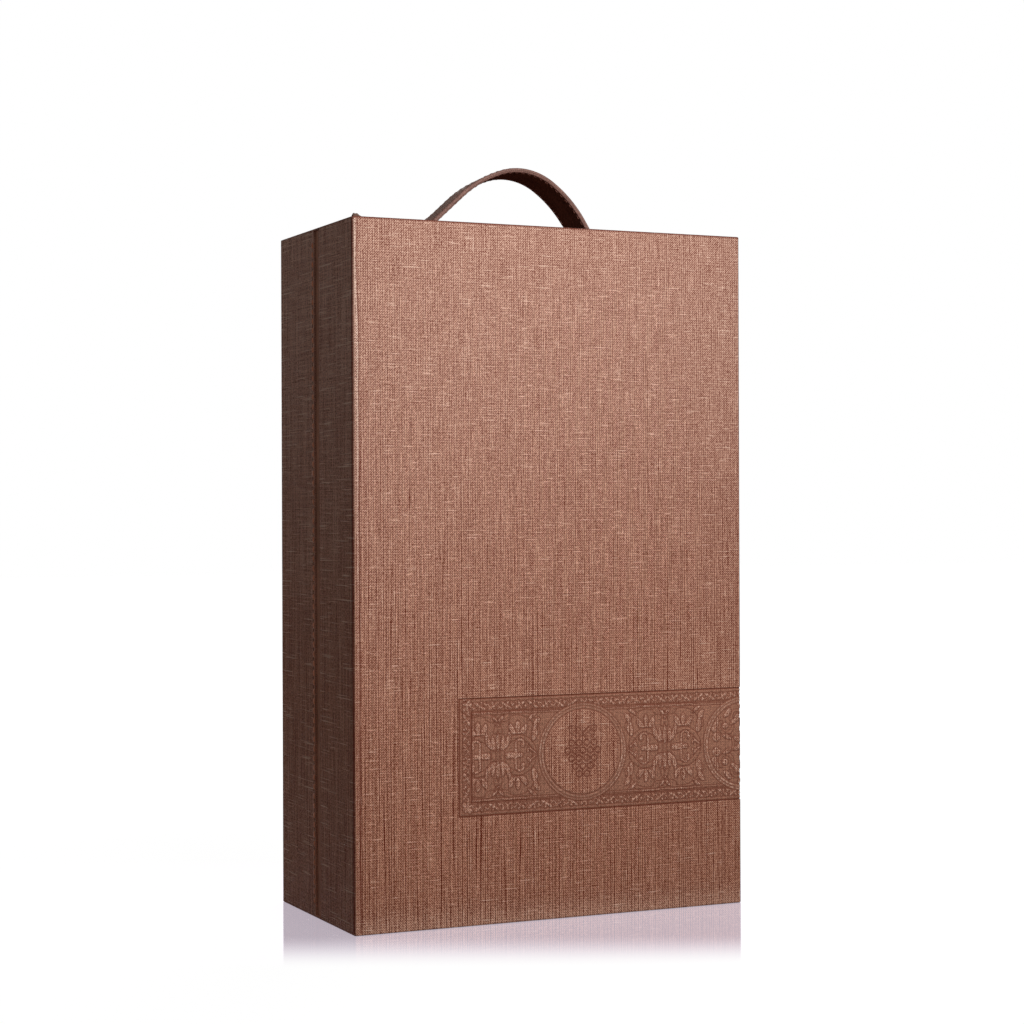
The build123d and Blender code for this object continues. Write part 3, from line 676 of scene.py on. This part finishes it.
def leaf(x, y, angle, length, wide, bend=0.0):
    # a pointed leaf from (x, y) along angle: half-width is a sine over its length, and bend bows its middle
    t = np.linspace(0, 1, 11)
    a = math.radians(angle)
    side = bend * np.sin(t * math.pi)
    along = t * length
    points = [x + along * math.cos(a) - side * math.sin(a), y + along * math.sin(a) + side * math.cos(a)]
    return np.stack(points, axis=1), 0.12 + wide * np.sin(np.clip(t * 0.94 + 0.06, 0, 1) * math.pi) ** 0.75


def bar(x0, y0, x1, y1, half0, half1):
    return np.array([[x0, y0], [x1, y1]]), np.array([half0, half1])


def bud(x, y, radius):
    return bar(x, y, x + 0.01, y, radius, radius)


def curl(x, y, radius, start, sweep, half, end):
    # an arc that tightens and swells to a bud
    points, width = arc(x, y, radius, start, start + sweep, 22, half, -0.45 * radius)
    width = np.linspace(half * 0.7, half, len(width))
    width[-3:] = (end * 0.8, end, end)
    return points, width


def ornamentStrokes(kind, x):
    # ribbons and shapes about x and the band's middle line, each in all four quarters
    quarters = ((1, 1), (-1, 1), (1, -1), (-1, -1))
    shapes = []
    for draw, rows in ((leaf, "leaves"), (bud, "buds"), (bar, "bars"), (curl, "curls")):
        shapes += [draw(*row) for row in kind[rows]]
    return [
        [(points * turn + (x, band["middle"]), width) for points, width in strokes for turn in quarters]
        for strokes in ([arc(*row) for row in kind["arcs"]], shapes)
    ]


def borderStrokes(length):
    # beads with a pair of leaves each, and a curl between them, in the strip along the band's edges
    low = (band["frame"][1] + band["frame"][2]) / 2
    unit = band["unit"]

    def run(reach):
        shapes = []
        for number in range(int(reach // unit) + 1):
            x = low + number * unit
            between = x + unit / 2
            side = 1 if number % 2 else -1
            shapes += [
                bud(x, low, 0.95), leaf(x + 0.9, low + side * 0.5, 36 * side, 2.5, 0.7),
                leaf(x - 0.9, low - side * 0.5, 180 + 36 * side, 2.5, 0.7),
                leaf(x + 0.4, low - side, -70 * side, 1.5, 0.5), leaf(x - 0.4, low + side, 110 * side, 1.5, 0.5),
                bud(between - 1.2, low - side * 1.5, 0.55), bud(between + 1.3, low + side * 1.6, 0.45),
                curl(between, low + side * 0.2, 1.75, 90 * side, -230 * side, 0.42, 0.7),
            ]
        return shapes

    along = run(length)
    above = [(points * (1, -1) + (0, band["height"]), width) for points, width in along]
    return along + above + [(points[:, ::-1], width) for points, width in run(band["height"])]


# a plain bunch of grapes under two leaves: rows of grapes (how many, how high), and each leaf
emblem = {
    "rows": ((4, 4.6), (5, 0.6), (4, -3.4), (3, -7.4), (2, -11.4)), "pitch": 4.3, "grape": 1.6, "line": 0.40,
    "stem": (4.5, 8.0, 4.5, 180, 105, 12, 0.45), "foot": (0.0, 8.2), "leaves": (30, 150), "length": 9.5,
    "half": 2.5, "edge": 0.26, "rib": (8.6, 0.14), "veinPlaces": (2.6, 4.8), "vein": (2.4, 0.10), "veinTurn": 42,
}


def emblemStrokes():
    shapes = [arc(*emblem["stem"])]
    for count, height in emblem["rows"]:
        places = (np.arange(count) - (count - 1) / 2) * emblem["pitch"]
        shapes += [arc(x, height, emblem["grape"], 0, 360, 24, emblem["line"]) for x in places]
    foot = np.array(emblem["foot"])
    t = np.linspace(0, 1, 14)
    half = emblem["half"] * np.sin(t * math.pi) ** 0.8
    for angle in emblem["leaves"]:
        # a leaf as its outline, its midrib and two pairs of veins
        a = math.radians(angle)
        along, across = (math.cos(a), math.sin(a)), (-math.sin(a), math.cos(a))
        shapes.append(leaf(*foot, angle, *emblem["rib"]))
        for side in (1, -1):
            edge = foot + np.outer(t * emblem["length"], along) + np.outer(side * half, across)
            shapes.append((edge, np.full(len(t), emblem["edge"])))
            for reach in emblem["veinPlaces"]:
                vein = foot + reach * np.array(along)
                shapes.append(leaf(*vein, angle + side * emblem["veinTurn"], *emblem["vein"]))
    return shapes


def paintStrokes(s, t, strokes):
    # how far inside the nearest stroke each grid point lies, in millimetres, and at least -1 outside
    field = np.full((len(s), len(t)), -1.0)
    for points, width in strokes:
        for a, b, wa, wb in zip(points[:-1], points[1:], width[:-1], width[1:]):
            reach = max(wa, wb) + 1.0
            i0, i1 = np.searchsorted(s, (min(a[0], b[0]) - reach, max(a[0], b[0]) + reach))
            j0, j1 = np.searchsorted(t, (min(a[1], b[1]) - reach, max(a[1], b[1]) + reach))
            if i0 >= i1 or j0 >= j1:
                continue
            x, y = np.meshgrid(s[i0:i1], t[j0:j1], indexing="ij")
            d = b - a
            f = np.clip(((x - a[0]) * d[0] + (y - a[1]) * d[1]) / max(1e-9, d @ d), 0, 1)
            inside = wa + (wb - wa) * f - np.hypot(x - a[0] - f * d[0], y - a[1] - f * d[1])
            field[i0:i1, j0:j1] = np.maximum(field[i0:i1, j0:j1], inside)
    return field


def bandRelief(s, t, frontRun, shift):
    # height, kept grain, painted shade in the creases and painted highlights on the crests over the band's grid; what
    # lies past the corner is shifted
    x, y = np.meshgrid(s, t, indexing="ij")
    middle, radius, half = band["middle"], band["ringRadius"], band["ringHalf"]
    lip, strip, panel = band["frame"]
    first, second = band["circles"][0], band["circles"][1] + shift / 2
    drawn = [ornamentStrokes(motif, center if center < frontRun else center + shift) for center in band["motifs"]]
    ribbon, shape = [paintStrokes(s, t, sum((pair[kind] for pair in drawn), [])) for kind in (0, 1)]
    innerRibbon, innerShape = [paintStrokes(s, t, strokes) for strokes in ornamentStrokes(roundel, second)]
    border = paintStrokes(s, t, borderStrokes(s[-1]))
    # distances from both rings' centres and from the band's edge, and how far inside each field a point lies
    fromFirst, fromSecond = [np.hypot(x - center, y - middle) for center in (first, second)]
    near = np.minimum(fromFirst, fromSecond)
    edge = np.minimum(np.minimum(x, y), band["height"] - y)
    ring = half - np.abs(near - radius)
    outside = near - radius - half - 0.3
    within = radius - half - 0.3 - fromSecond
    inside = np.minimum(outside, edge - panel - 0.5)
    shape = np.maximum.reduce([
        np.minimum(shape, inside), np.minimum(innerShape, within),
        np.minimum(np.maximum(np.minimum(border, panel - 0.7 - edge), 0.30 - np.abs(edge - panel - 1.3)), outside),
    ])
    ribbon = np.maximum.reduce([
        np.minimum(ribbon, inside), np.minimum(innerRibbon, within), ring, 0.7 - np.abs(edge - (lip + strip) / 2),
    ])
    ribbon = np.minimum(ribbon, 0.05 - shape)
    disc = ease((radius - half - 0.35 - fromFirst) / 0.5)
    stamped = ease((paintStrokes(s - first, t - middle, emblemStrokes()) + 0.15) / 0.35) * disc
    raised = ease((shape + 0.05) / band["slope"]) * (1 - disc)
    smooth = ease((ribbon + 0.05) / band["slope"]) * (1 - disc) * (1 - raised)
    # dark lines, sunk and painted with shade, lie just outside each shape's and each ribbon's edge, and along the frame
    groove = np.maximum(1 - ease((edge - 0.45) / 0.5), bell(edge - panel, 0.30) * (outside > -0.3))
    lines = np.maximum(bell(shape + 0.18, 0.24), bell(ribbon + 0.16, 0.24) * (1 - smooth)) * (1 - raised)
    lines = np.maximum(lines, 0.75 * bell(near - radius - 0.15, 0.30))
    lines = np.maximum(lines * (1 - disc), groove)
    height = band["ground"] + (band["ribbon"] - band["ground"]) * smooth
    height = height + (band["flush"] - height) * np.maximum(raised, disc)
    height = height - band["stamp"] * stamped - (height - band["groove"]) * lines * 0.85
    grain = np.maximum(disc * (1 - 0.7 * stamped), raised * 0.9)
    # painted highlights on the raised shapes' crests, and on the ring's ribbon on the side that faces the light
    patches = 0.5 + 0.5 * np.sin(x * 1.9 + 2.2 * np.sin(y * 0.31)) * np.sin(y * 2.3 + 1.7 * np.sin(x * 0.23))
    wearAndHighlight = raised * (0.12 + 0.42 * patches) * bell(shape - 0.45, 0.7)
    lit = np.clip(np.sin(np.arctan2(y - middle, x - first) * 2 + 2.2), 0, 1)
    rim = bell(ring - half * 0.55, 0.35) * (0.15 + 0.35 * lit)
    wearAndHighlight = np.maximum(wearAndHighlight, rim * (ring > 0))
    # the painted shade of the creases takes in the stamped emblem's lines
    return height, grain, np.clip(lines * 0.66 + 0.60 * stamped, 0, 1), wearAndHighlight


def makeBand():
    corner = case["cornerRound"]
    frontRun = case["right"] - corner - band["start"]
    arcRun = corner * math.pi / 2
    sideRun = case["lidRim"] - case["front"] - corner
    length = frontRun + arcRun + sideRun
    shift = frontRun + arcRun - (case["right"] - band["start"])  # the rounded corner is a little shorter
    s, t = [np.linspace(0, reach, int(reach / band["cell"]) + 1) for reach in (length, band["height"])]
    height, grain, crease, wearAndHighlight = bandRelief(s, t, frontRun, shift)

    def wrapped(s, out):
        # x and y along the front, round the corner and along the right side
        a = np.clip((s - frontRun) / arcRun, 0, 1) * math.pi / 2
        px = band["start"] + np.minimum(s, frontRun) + (corner + out) * np.sin(a)
        return px, case["front"] + corner - (corner + out) * np.cos(a) + np.maximum(0, s - frontRun - arcRun)

    points = [cloud(*wrapped(s[:, None], height - band["recess"]), band["bottom"] + t)]
    for z in (0.0, band["height"]):
        points.append(cloud(*wrapped(s, band["floor"] - band["recess"]), band["bottom"] + z))
    rows, columns = len(s), len(t)
    low = rows * columns
    high = low + rows
    last = columns - 1
    end = (rows - 1) * columns
    i = np.arange(rows - 1)
    faces = gridFaces(rows, columns, flip=True)
    for quads in (
        [low + i, low + i + 1, (i + 1) * columns, i * columns],
        [i * columns + last, (i + 1) * columns + last, high + i + 1, high + i],
        [low + i + 1, low + i, high + i, high + i + 1],
    ):
        faces += np.stack(quads, axis=1).tolist()
    faces.append([low, *range(columns), high])
    faces.append([high + rows - 1, *range(end + last, end - 1, -1), low + rows - 1])
    piece = makePiece("pressed_band", np.concatenate(points), faces, "band", "lid")
    for name, values in (("grain", grain), ("crease", crease), ("wearAndHighlight", wearAndHighlight)):
        setAttribute(piece, name, values)


makeLidSkin()
makeCornerFold()
makeBand()
print("lid leather and pressed band made")


# Strap handle: one rounded section carried along the strap's line

def strapSide(end, side):
    # crown arc, wider arc, straight flank, arc into the slot, upright run, fold and end run:
    # rows of x, z, heading below level and length from the peak
    span = abs(end["rootX"] - strap["peakX"])
    peakZ = case["top"] + strap["rise"] - strap["thickness"] / 2
    rootZ = case["top"] + strap["rootStand"]
    foldZ = strap["underTop"] - strap["thickness"] / 2 + strap["foldRadius"]
    rise = peakZ - rootZ
    angle = end["slope"] * 2 * math.atan(rise / span)
    turn = end["crown"] * angle
    s, c = math.sin(angle), math.cos(angle)
    archAcross = math.sin(turn) + strap["shoulder"] * (s - math.sin(turn))
    archDown = 1 - math.cos(turn) + strap["shoulder"] * (math.cos(turn) - c)
    across = span - end["rootRadius"] * (1 - s)
    down = rise - end["rootRadius"] * c
    spread = archAcross * s - c * archDown
    crown = (across * s - c * down) / spread
    flank = (archAcross * down - archDown * across) / spread
    steps = (
        (crown, turn, 24), (crown * strap["shoulder"], angle - turn, 24), (flank, 0, 8),
        (end["rootRadius"], math.pi / 2 - angle, 12), (rootZ - foldZ, 0, 6),
        (strap["foldRadius"], math.pi / 2, 10), (strap["endRun"], 0, 10),
    )
    x, z, heading, length = 0.0, peakZ, 0.0, 0.0
    line = [(x, z, heading, length)]
    for size, bend, count in steps:
        for number in range(count):
            step = (bend if bend else size) / count
            if bend:
                x += size * (math.sin(heading + step) - math.sin(heading))
                z += size * (math.cos(heading + step) - math.cos(heading))
                heading += step
                length += size * step
            else:
                x += step * math.cos(heading)
                z -= step * math.sin(heading)
                length += step
            line.append((x, z, heading, length))
    return np.array(line) * (side, 1, side, side) + (strap["peakX"], 0, 0, 0)


def strapLean(z, w):
    # the strap's far edge lies a little inside its near one, above the top
    return -strap["tilt"] * w / strap["width"] * ease((z - case["top"] - 1) / 14)


def strapLine():
    return np.concatenate([strapSide(strap["left"], -1)[:0:-1], strapSide(strap["right"], 1)])


def strapSection():
    # half-thickness across the strap: rounded edges, a dip along each stitch line, a soft crown
    edge, width = strap["edge"], strap["width"]
    turn = edge * (1 - np.cos(np.linspace(0, math.pi / 2, 7)))
    w = np.concatenate([turn, np.linspace(edge, width - edge, 40)[1:-1], width - turn[::-1]])
    fromEdge = np.minimum(w, width - w)
    dip = strap["pinch"] * bell(fromEdge - strap["stitchInset"], 0.55)
    crown = 0.10 * ease((fromEdge - 2.5) / 4)
    return w, np.maximum((strap["thickness"] / 2 - 0.05) * rounded(fromEdge, edge) - dip + crown, 0.0)


def makeStrap():
    lineX, lineZ, heading, length = strapLine().T[:, :, None]
    w, h = strapSection()
    ring = np.concatenate([np.arange(len(w)), np.arange(len(w) - 2, 0, -1)])
    sign = np.concatenate([np.ones(len(w)), -np.ones(len(w) - 2)])
    w, h = w[ring], h[ring]
    offset = h * sign + strapLean(lineZ, w)
    x, z = lineX + offset * np.sin(heading), lineZ + offset * np.cos(heading)
    points, faces = cloud(x, strap["front"] + w, z), tubeFaces(*x.shape, flip=True)
    piece = makePiece("strap_handle", points, faces, "strap_leather", "tray")
    across = np.where(sign > 0, w, 2 * strap["width"] - w)
    setUv(piece, cloud(across, length, 0.0)[:, :2])
    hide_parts("handle_strap_outer", "handle_core", "handle_strap_lining")


def stitchShape(length, width, height, rings=7, sides=6):
    # a short thread that rises out of one hole and sinks into the next, along its own x
    t = np.linspace(0, 1, rings)[:, None]
    a = np.linspace(0, 2 * math.pi, sides, endpoint=False)
    thick = np.sqrt(np.clip(1 - (2 * t - 1) ** 4, 0.02, 1))
    rise = height * (np.sin(t * math.pi) ** 0.6 - 0.55)
    y, z = thick * width / 2 * np.cos(a), thick * height / 2 * np.sin(a) + rise
    return cloud((t - 0.5) * length, y, z), tubeFaces(rings, sides)


def makeStitches(name, shape, places, material, node):
    # places are (origin, along, across, out) rows
    points, faces = shape
    turned = [points @ np.array(axes, float) + np.array(origin, float) for origin, *axes in places]
    starts = range(0, len(points) * len(places), len(points))
    allFaces = [[index + start for index in face] for start in starts for face in faces]
    piece = makePiece(name, np.concatenate(turned), allFaces, material, "tray")
    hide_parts(node)


def strapStitchPlaces():
    line = strapLine()
    stations = np.arange(-strap["stitchReach"], strap["stitchReach"], strap["stitchPitch"]) + strap["stitchPitch"] / 2
    x, z, heading = [np.interp(stations, line[:, 3], line[:, part]) for part in range(3)]
    half = strap["thickness"] / 2 - strap["pinch"]
    places = []
    for px, pz, a in zip(x, z, heading):
        if pz < case["top"] + strap["stitchLow"]:
            continue
        for side in (1, -1):
            s, c = math.sin(a), math.cos(a)
            for y in (strap["stitchInset"], strap["width"] - strap["stitchInset"]):
                off = side * half + float(strapLean(pz, y))
                origin = (px + off * s, strap["front"] + y, pz + off * c)
                places.append((origin, (c, 0, -s), (0, side, 0), (side * s, 0, side * c)))
    return places


makeStrap()
makeStitches("strap_stitches", stitchShape(*strap["stitch"]), strapStitchPlaces(), "handleThread", "handle_stitching")
print("strap made")


# Hinge strip and its stitches

hinge = {
    "x": -108.95, "thickness": 0.8, "lidEnd": -17.5, "trayEnd": 14.0, "low": 1.05, "high": 353.95,
    "foldStart": -5.6, "foldEnd": -4.85, "stitchY": 3.4, "stitchPitch": 4.9, "stitchMargin": 5.0,
    "stitchInset": 0.30, "stitchLean": 0.06, "stitch": (4.2, 1.7, 1.0),
}


def makeHingeStrip():
    y = np.concatenate([
        np.linspace(hinge["lidEnd"], hinge["foldStart"], 8)[:-1],
        np.linspace(hinge["foldStart"], hinge["foldEnd"], 25),
        np.linspace(hinge["foldEnd"], hinge["trayEnd"], 16)[1:],
    ])
    x = np.repeat([hinge["x"], hinge["x"] + hinge["thickness"]], len(y))
    ring = np.column_stack([x, np.concatenate([y, y[::-1]])])
    z = np.linspace(hinge["low"], hinge["high"], 36)
    faces = tubeFaces(len(z), len(ring), flip=True)
    piece = makePiece("hinge_leather_strip", stacked([ring] * len(z), z), faces, "hinge_leather", None, smooth=False)
    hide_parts("hinge_strip")
    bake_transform(piece)


def hingeStitchPlaces():
    pitch, lean = hinge["stitchPitch"], hinge["stitchLean"]
    count = int((case["top"] - 2 * hinge["stitchMargin"]) // pitch)
    first = case["top"] / 2 - pitch * (count - 1) / 2
    return [
        ((case["left"] + hinge["stitchInset"], hinge["stitchY"], first + pitch * number),
         (0, lean, 1), (0, 1, -lean), (-1, 0, 0))
        for number in range(count)
    ]


makeHingeStrip()
makeStitches("hinge_stitches", stitchShape(*hinge["stitch"]), hingeStitchPlaces(), "thread", "hinge_stitching")
print("hinge made")


# Bottle bed and neck rest: a face with two troughs that follow a bottle's outline

bed = {
    "face": -3.0, "back": 50.2, "side": 103.7, "axes": (-52.0, 52.0), "bodyRadius": 39.5, "neckRadius": 17.0,
    "low": 14.0, "shoulder": 209.0, "neck": 254.0, "neckEnd": 320.0, "high": 337.2, "lip": 2.4, "edge": 1.6,
    "endRound": 8.0, "gap": 0.1, "padLow": 6.0,
}


def bottleRadius(z):
    # body, an eased shoulder, neck, and a rounded end
    shoulder = ease((z - bed["shoulder"]) / (bed["neck"] - bed["shoulder"]))
    radius = bed["bodyRadius"] + (bed["neckRadius"] - bed["bodyRadius"]) * shoulder
    past = np.clip((z - bed["neckEnd"] + bed["endRound"]) / bed["endRound"], 0, 1)
    return radius * np.sqrt(np.clip(1 - past ** 2, 0, 1))


def bedProfile(radius, shrink):
    # the face from left to right with both troughs; lips are eased over a few millimetres
    side, face = bed["side"] - shrink, bed["face"] + shrink
    lip = bed["lip"] * (radius > 0.01)
    a = np.linspace(-math.pi / 2, math.pi / 2, 41)
    fromLip = math.pi / 2 - np.abs(a)
    troughX = (radius + lip * np.exp(-fromLip / 0.12)) * np.sin(a)
    troughY = radius * np.cos(a) * (1 - np.exp(-fromLip / 0.10))
    runs = []
    start = -side
    for axis in bed["axes"]:
        runs += [(np.linspace(start, axis - radius - lip, 8)[:-1], face), (axis + troughX, face + troughY)]
        start = axis + radius + lip
    runs += [(np.linspace(start, side, 8)[1:], face), (np.array([side, -side]), bed["back"])]
    return np.concatenate([np.column_stack(np.broadcast_arrays(x, y)) for x, y in runs])


def makeBed(name, low, high, nodes):
    # end rows draw in, so that the velvet rounds over the block's ends
    edge = bed["edge"]
    drawn = edge * (1 - np.cos(np.linspace(0, math.pi / 2, 6)))
    z = np.concatenate([low + drawn, np.linspace(low + edge, high - edge, 70)[1:-1], high - drawn[::-1]])
    shrink = edge * (1 - rounded(np.minimum(z - low, high - z), edge))
    rings = [bedProfile(float(bottleRadius(level)), cut) for level, cut in zip(z, shrink)]
    piece = makePiece(name, stacked(rings, z), tubeFaces(len(z), len(rings[0])), "velvet", "tray")
    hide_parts(*nodes)


makeBed("bottle_bed", bed["low"], bed["shoulder"] - bed["gap"], ("bottle_bed_foam", "bottle_bed_velvet"))
makeBed("neck_rest", bed["shoulder"] + bed["gap"], bed["high"], ("neck_rest_foam", "neck_rest_velvet"))


def puffed(points, faces, held, pressure, cap):
    # a closed shape blown up by cloth under pressure; held points stay, and a move is eased to stay under cap
    mesh = bpy.data.meshes.new("cloth_start")
    mesh.from_pydata((points * mm).tolist(), [], faces)
    soft = link("cloth_start", mesh)
    group = soft.vertex_groups.new(name="held")
    group.add([int(index) for index in np.flatnonzero(held)], 1.0, "REPLACE")
    settings = soft.modifiers.new("cloth", "CLOTH").settings
    settings.vertex_group_mass = "held"
    settings.use_pressure = True
    settings.uniform_pressure_force = pressure
    settings.effector_weights.gravity = 0
    settings.quality = 6
    for number in range(1, 21):
        scene.frame_set(number)
    moved = bpy.data.meshes.new_from_object(soft.evaluated_get(bpy.context.evaluated_depsgraph_get()))
    after = np.empty(len(points) * 3)
    moved.vertices.foreach_get("co", after)
    scene.frame_set(1)
    bpy.data.objects.remove(soft)
    bpy.data.meshes.remove(mesh)
    bpy.data.meshes.remove(moved)
    move = after.reshape(-1, 3) / mm - points
    length = np.linalg.norm(move, axis=1, keepdims=True)
    print("cloth moved up to", round(float(length.max()), 2), "mm, eased to under", cap)
    return points + move * cap / (cap + length)


def subdivide(piece):
    smoother = piece.modifiers.new("smooth", "SUBSURF")
    smoother.levels = smoother.render_levels = 1


cushion = {"thick": 6.4, "edge": 2.6, "room": 0.4, "lift": 0.1, "power": 0.22, "pressure": 4.0, "cap": 1.2}


def makeBasePad():
    # a rounded bar, its section a soft rectangle, blown up on its upper side and held underneath
    half, edge = bed["side"] - cushion["room"], cushion["edge"]
    x = np.linspace(-half, half, 53)[:, None]
    inset = edge * (1 - rounded(half - np.abs(x), edge))
    a = np.linspace(0, 2 * math.pi, 40, endpoint=False)
    c, s = [np.sign(part) * np.abs(part) ** cushion["power"] for part in (np.cos(a), np.sin(a))]
    middleZ = bed["padLow"] + cushion["lift"] + cushion["thick"] / 2
    y = (bed["face"] + bed["back"]) / 2 + ((bed["back"] - bed["face"]) / 2 - cushion["room"] - inset) * c
    z = middleZ + (cushion["thick"] / 2 - inset * 0.9) * s
    points, faces = cloud(x, y, z), tubeFaces(len(x), len(a))
    points = puffed(points, faces, points[:, 2] < middleZ - 1, cushion["pressure"], cushion["cap"])
    piece = makePiece("base_cushion", points, faces, "velvet", "tray")
    subdivide(piece)
    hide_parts("base_pad")


makeBasePad()
print("bottle bed made")


# Lid pad: a crowned satin cushion

pad = {
    "halfX": 97.6, "low": 12.4, "high": 342.6, "back": -48.95, "thick": 5.0, "border": 0.6, "waist": 1.0, "edge": 3.0,
    "rows": 65, "columns": 83, "pressure": 4.0, "cap": 1.8, "channel": 0.55, "channelReach": 6.0,
}


def makeLidPad():
    # two grids that share their border: an eased edge, a low crown and a sewn channel in front, flat and held behind
    rows, columns = pad["rows"], pad["columns"]
    gu, gv = np.meshgrid(np.linspace(-1, 1, rows), np.linspace(-1, 1, columns), indexing="ij")
    halfZ = (pad["high"] - pad["low"]) / 2
    x = gu * (pad["halfX"] - pad["waist"] * (1 - gv ** 2))
    z = (pad["low"] + pad["high"]) / 2 + gv * (halfZ - pad["waist"] * (1 - gu ** 2))
    fromEdge = np.minimum((1 - np.abs(gu)) * pad["halfX"], (1 - np.abs(gv)) * halfZ)
    rise = rounded(fromEdge, pad["edge"])
    crown = 0.60 + 0.40 * np.sqrt(np.clip((1 - gu ** 2) * (1 - gv ** 2), 0, 1)) ** 0.6
    crown = crown * (1 - pad["channel"] * np.exp(-np.abs(x) / pad["channelReach"]) * rise)
    front = cloud(x, pad["back"] + pad["border"] + pad["thick"] * rise * crown, z)
    points = np.concatenate([front, cloud(x, pad["back"], z)])
    faces = gridFaces(rows, columns) + gridFaces(rows, columns, flip=True, start=len(front))
    edge = np.concatenate([
        np.arange(columns), np.arange(1, rows) * columns + columns - 1,
        (rows - 1) * columns + np.arange(columns - 2, -1, -1), np.arange(rows - 2, 0, -1) * columns,
    ])
    beside = np.roll(edge, -1)
    faces += np.stack([edge, edge + len(front), beside + len(front), beside], axis=1).tolist()
    held = (np.arange(len(points)) >= len(front)) | (np.abs(points[:, 0]) < 0.1)
    points = puffed(points, faces, held, pad["pressure"], pad["cap"])
    piece = makePiece("lid_cushion", points, faces, "satin", "lid")
    subdivide(piece)
    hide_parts("lid_pad")


makeLidPad()
print("lid pad made")


# Floor, background and lamps

studio = {
    "ambient": 0.134, "glow": (0.95, 1.0), "glowReach": (0.25, 0.55), "floor": 0.10, "floorGloss": 0.60,
    "floorRough": 0.05, "floorHalf": 6.0, "tint": (1.13, 1.01, 1.17), "toCamera": (-0.417, 0.909),
    "mirrorReach": (0.08, 0.24), "mirrorEnd": (0.090, 0.173), "mirrorStart": (-0.15, -0.02),
    # each lamp's place, aim, size and power
    "key": ((0.0, -0.54, 0.46), (0.0, 0.0, 0.34), (0.26, 0.26), 2.56),
    "back": ((0.75, 1.15, 0.85), (0.0, 0.0, 0.18), (0.8, 0.8), 15.0),
}


def makeWorld():
    # white to the camera and in reflections, low in what lights the object
    graph = Graph("studio", "worlds")
    scene.world = graph.owner
    seen = graph.rays("Camera").atLeast(graph.rays("Glossy")).atLeast(graph.rays("Transmission"))
    level = graph.node("ShaderNodeMapRange", None, {"Value": seen, "To Min": studio["ambient"]})
    background = graph.node("ShaderNodeBackground", None, {"Color": (1, 1, 1, 1), "Strength": level})
    graph.node("ShaderNodeOutputWorld", None, {0: background})


def makeFloor():
    # white to the camera and in reflections; near the box it mirrors it under a painted lavender tint, and further off
    # it only keeps its shadow
    graph = Graph("floor")
    x, y, z = graph.parts(graph.place())
    outX = (x.size() - case["right"] * mm).atLeast(0.0)
    outY = (y.size() - case["back"] * mm).atLeast(0.0)
    away = (outX * outX + outY * outY) ** 0.5
    ahead = x * studio["toCamera"][0] - y * studio["toCamera"][1]  # the camera stands in front, where y is below 0
    near = (1 - away.step(*studio["mirrorReach"])) * (1 - ahead.step(*studio["mirrorEnd"]))
    near = near * ahead.step(*studio["mirrorStart"])
    low, high = studio["glow"]
    level = low + away.step(*studio["glowReach"]) * (high - low)
    # a painted tint near the box, standing in for the lavender of its reflection and shadow
    tint = graph.blend(near, (1.0, 1.0, 1.0), studio["tint"])
    seen = graph.rays("Camera").atLeast(graph.rays("Glossy"))
    lit = graph.node("ShaderNodeBsdfDiffuse", None, {0: (*[studio["floor"]] * 3, 1.0)})
    glow = graph.node("ShaderNodeEmission", None, {0: tint, 1: seen * level})
    base = graph.node("ShaderNodeAddShader", None, {0: lit, 1: glow})
    gloss = graph.node("ShaderNodeBsdfGlossy", None, {0: (1.0, 1.0, 1.0, 1.0), "Roughness": studio["floorRough"]})
    mirror = near * graph.rays("Camera") * studio["floorGloss"]
    both = graph.node("ShaderNodeMixShader", None, {0: mirror, 1: base, 2: gloss})
    graph.node("ShaderNodeOutputMaterial", None, {0: both})
    half = studio["floorHalf"]
    mesh = bpy.data.meshes.new("floor")
    mesh.from_pydata([(-half, -half, 0), (half, -half, 0), (half, half, 0), (-half, half, 0)], [], [(0, 1, 2, 3)])
    mesh.materials.append(graph.owner)
    floor = link("floor", mesh)


def makeLamp(name, place, aim, size, power):
    data = bpy.data.lights.new(name, "AREA")
    data.shape = "RECTANGLE"
    data.size, data.size_y = size
    data.energy = power
    lamp = link(name, data)
    turn = (Vector(place) - Vector(aim)).to_track_quat("Z", "Y").to_matrix().to_4x4()
    lamp.matrix_world = Matrix.Translation(place) @ turn
    lamp.visible_camera = False


makeWorld()
makeFloor()
for lampName in ("key", "back"):
    makeLamp(lampName, *studio[lampName])
print("studio made")
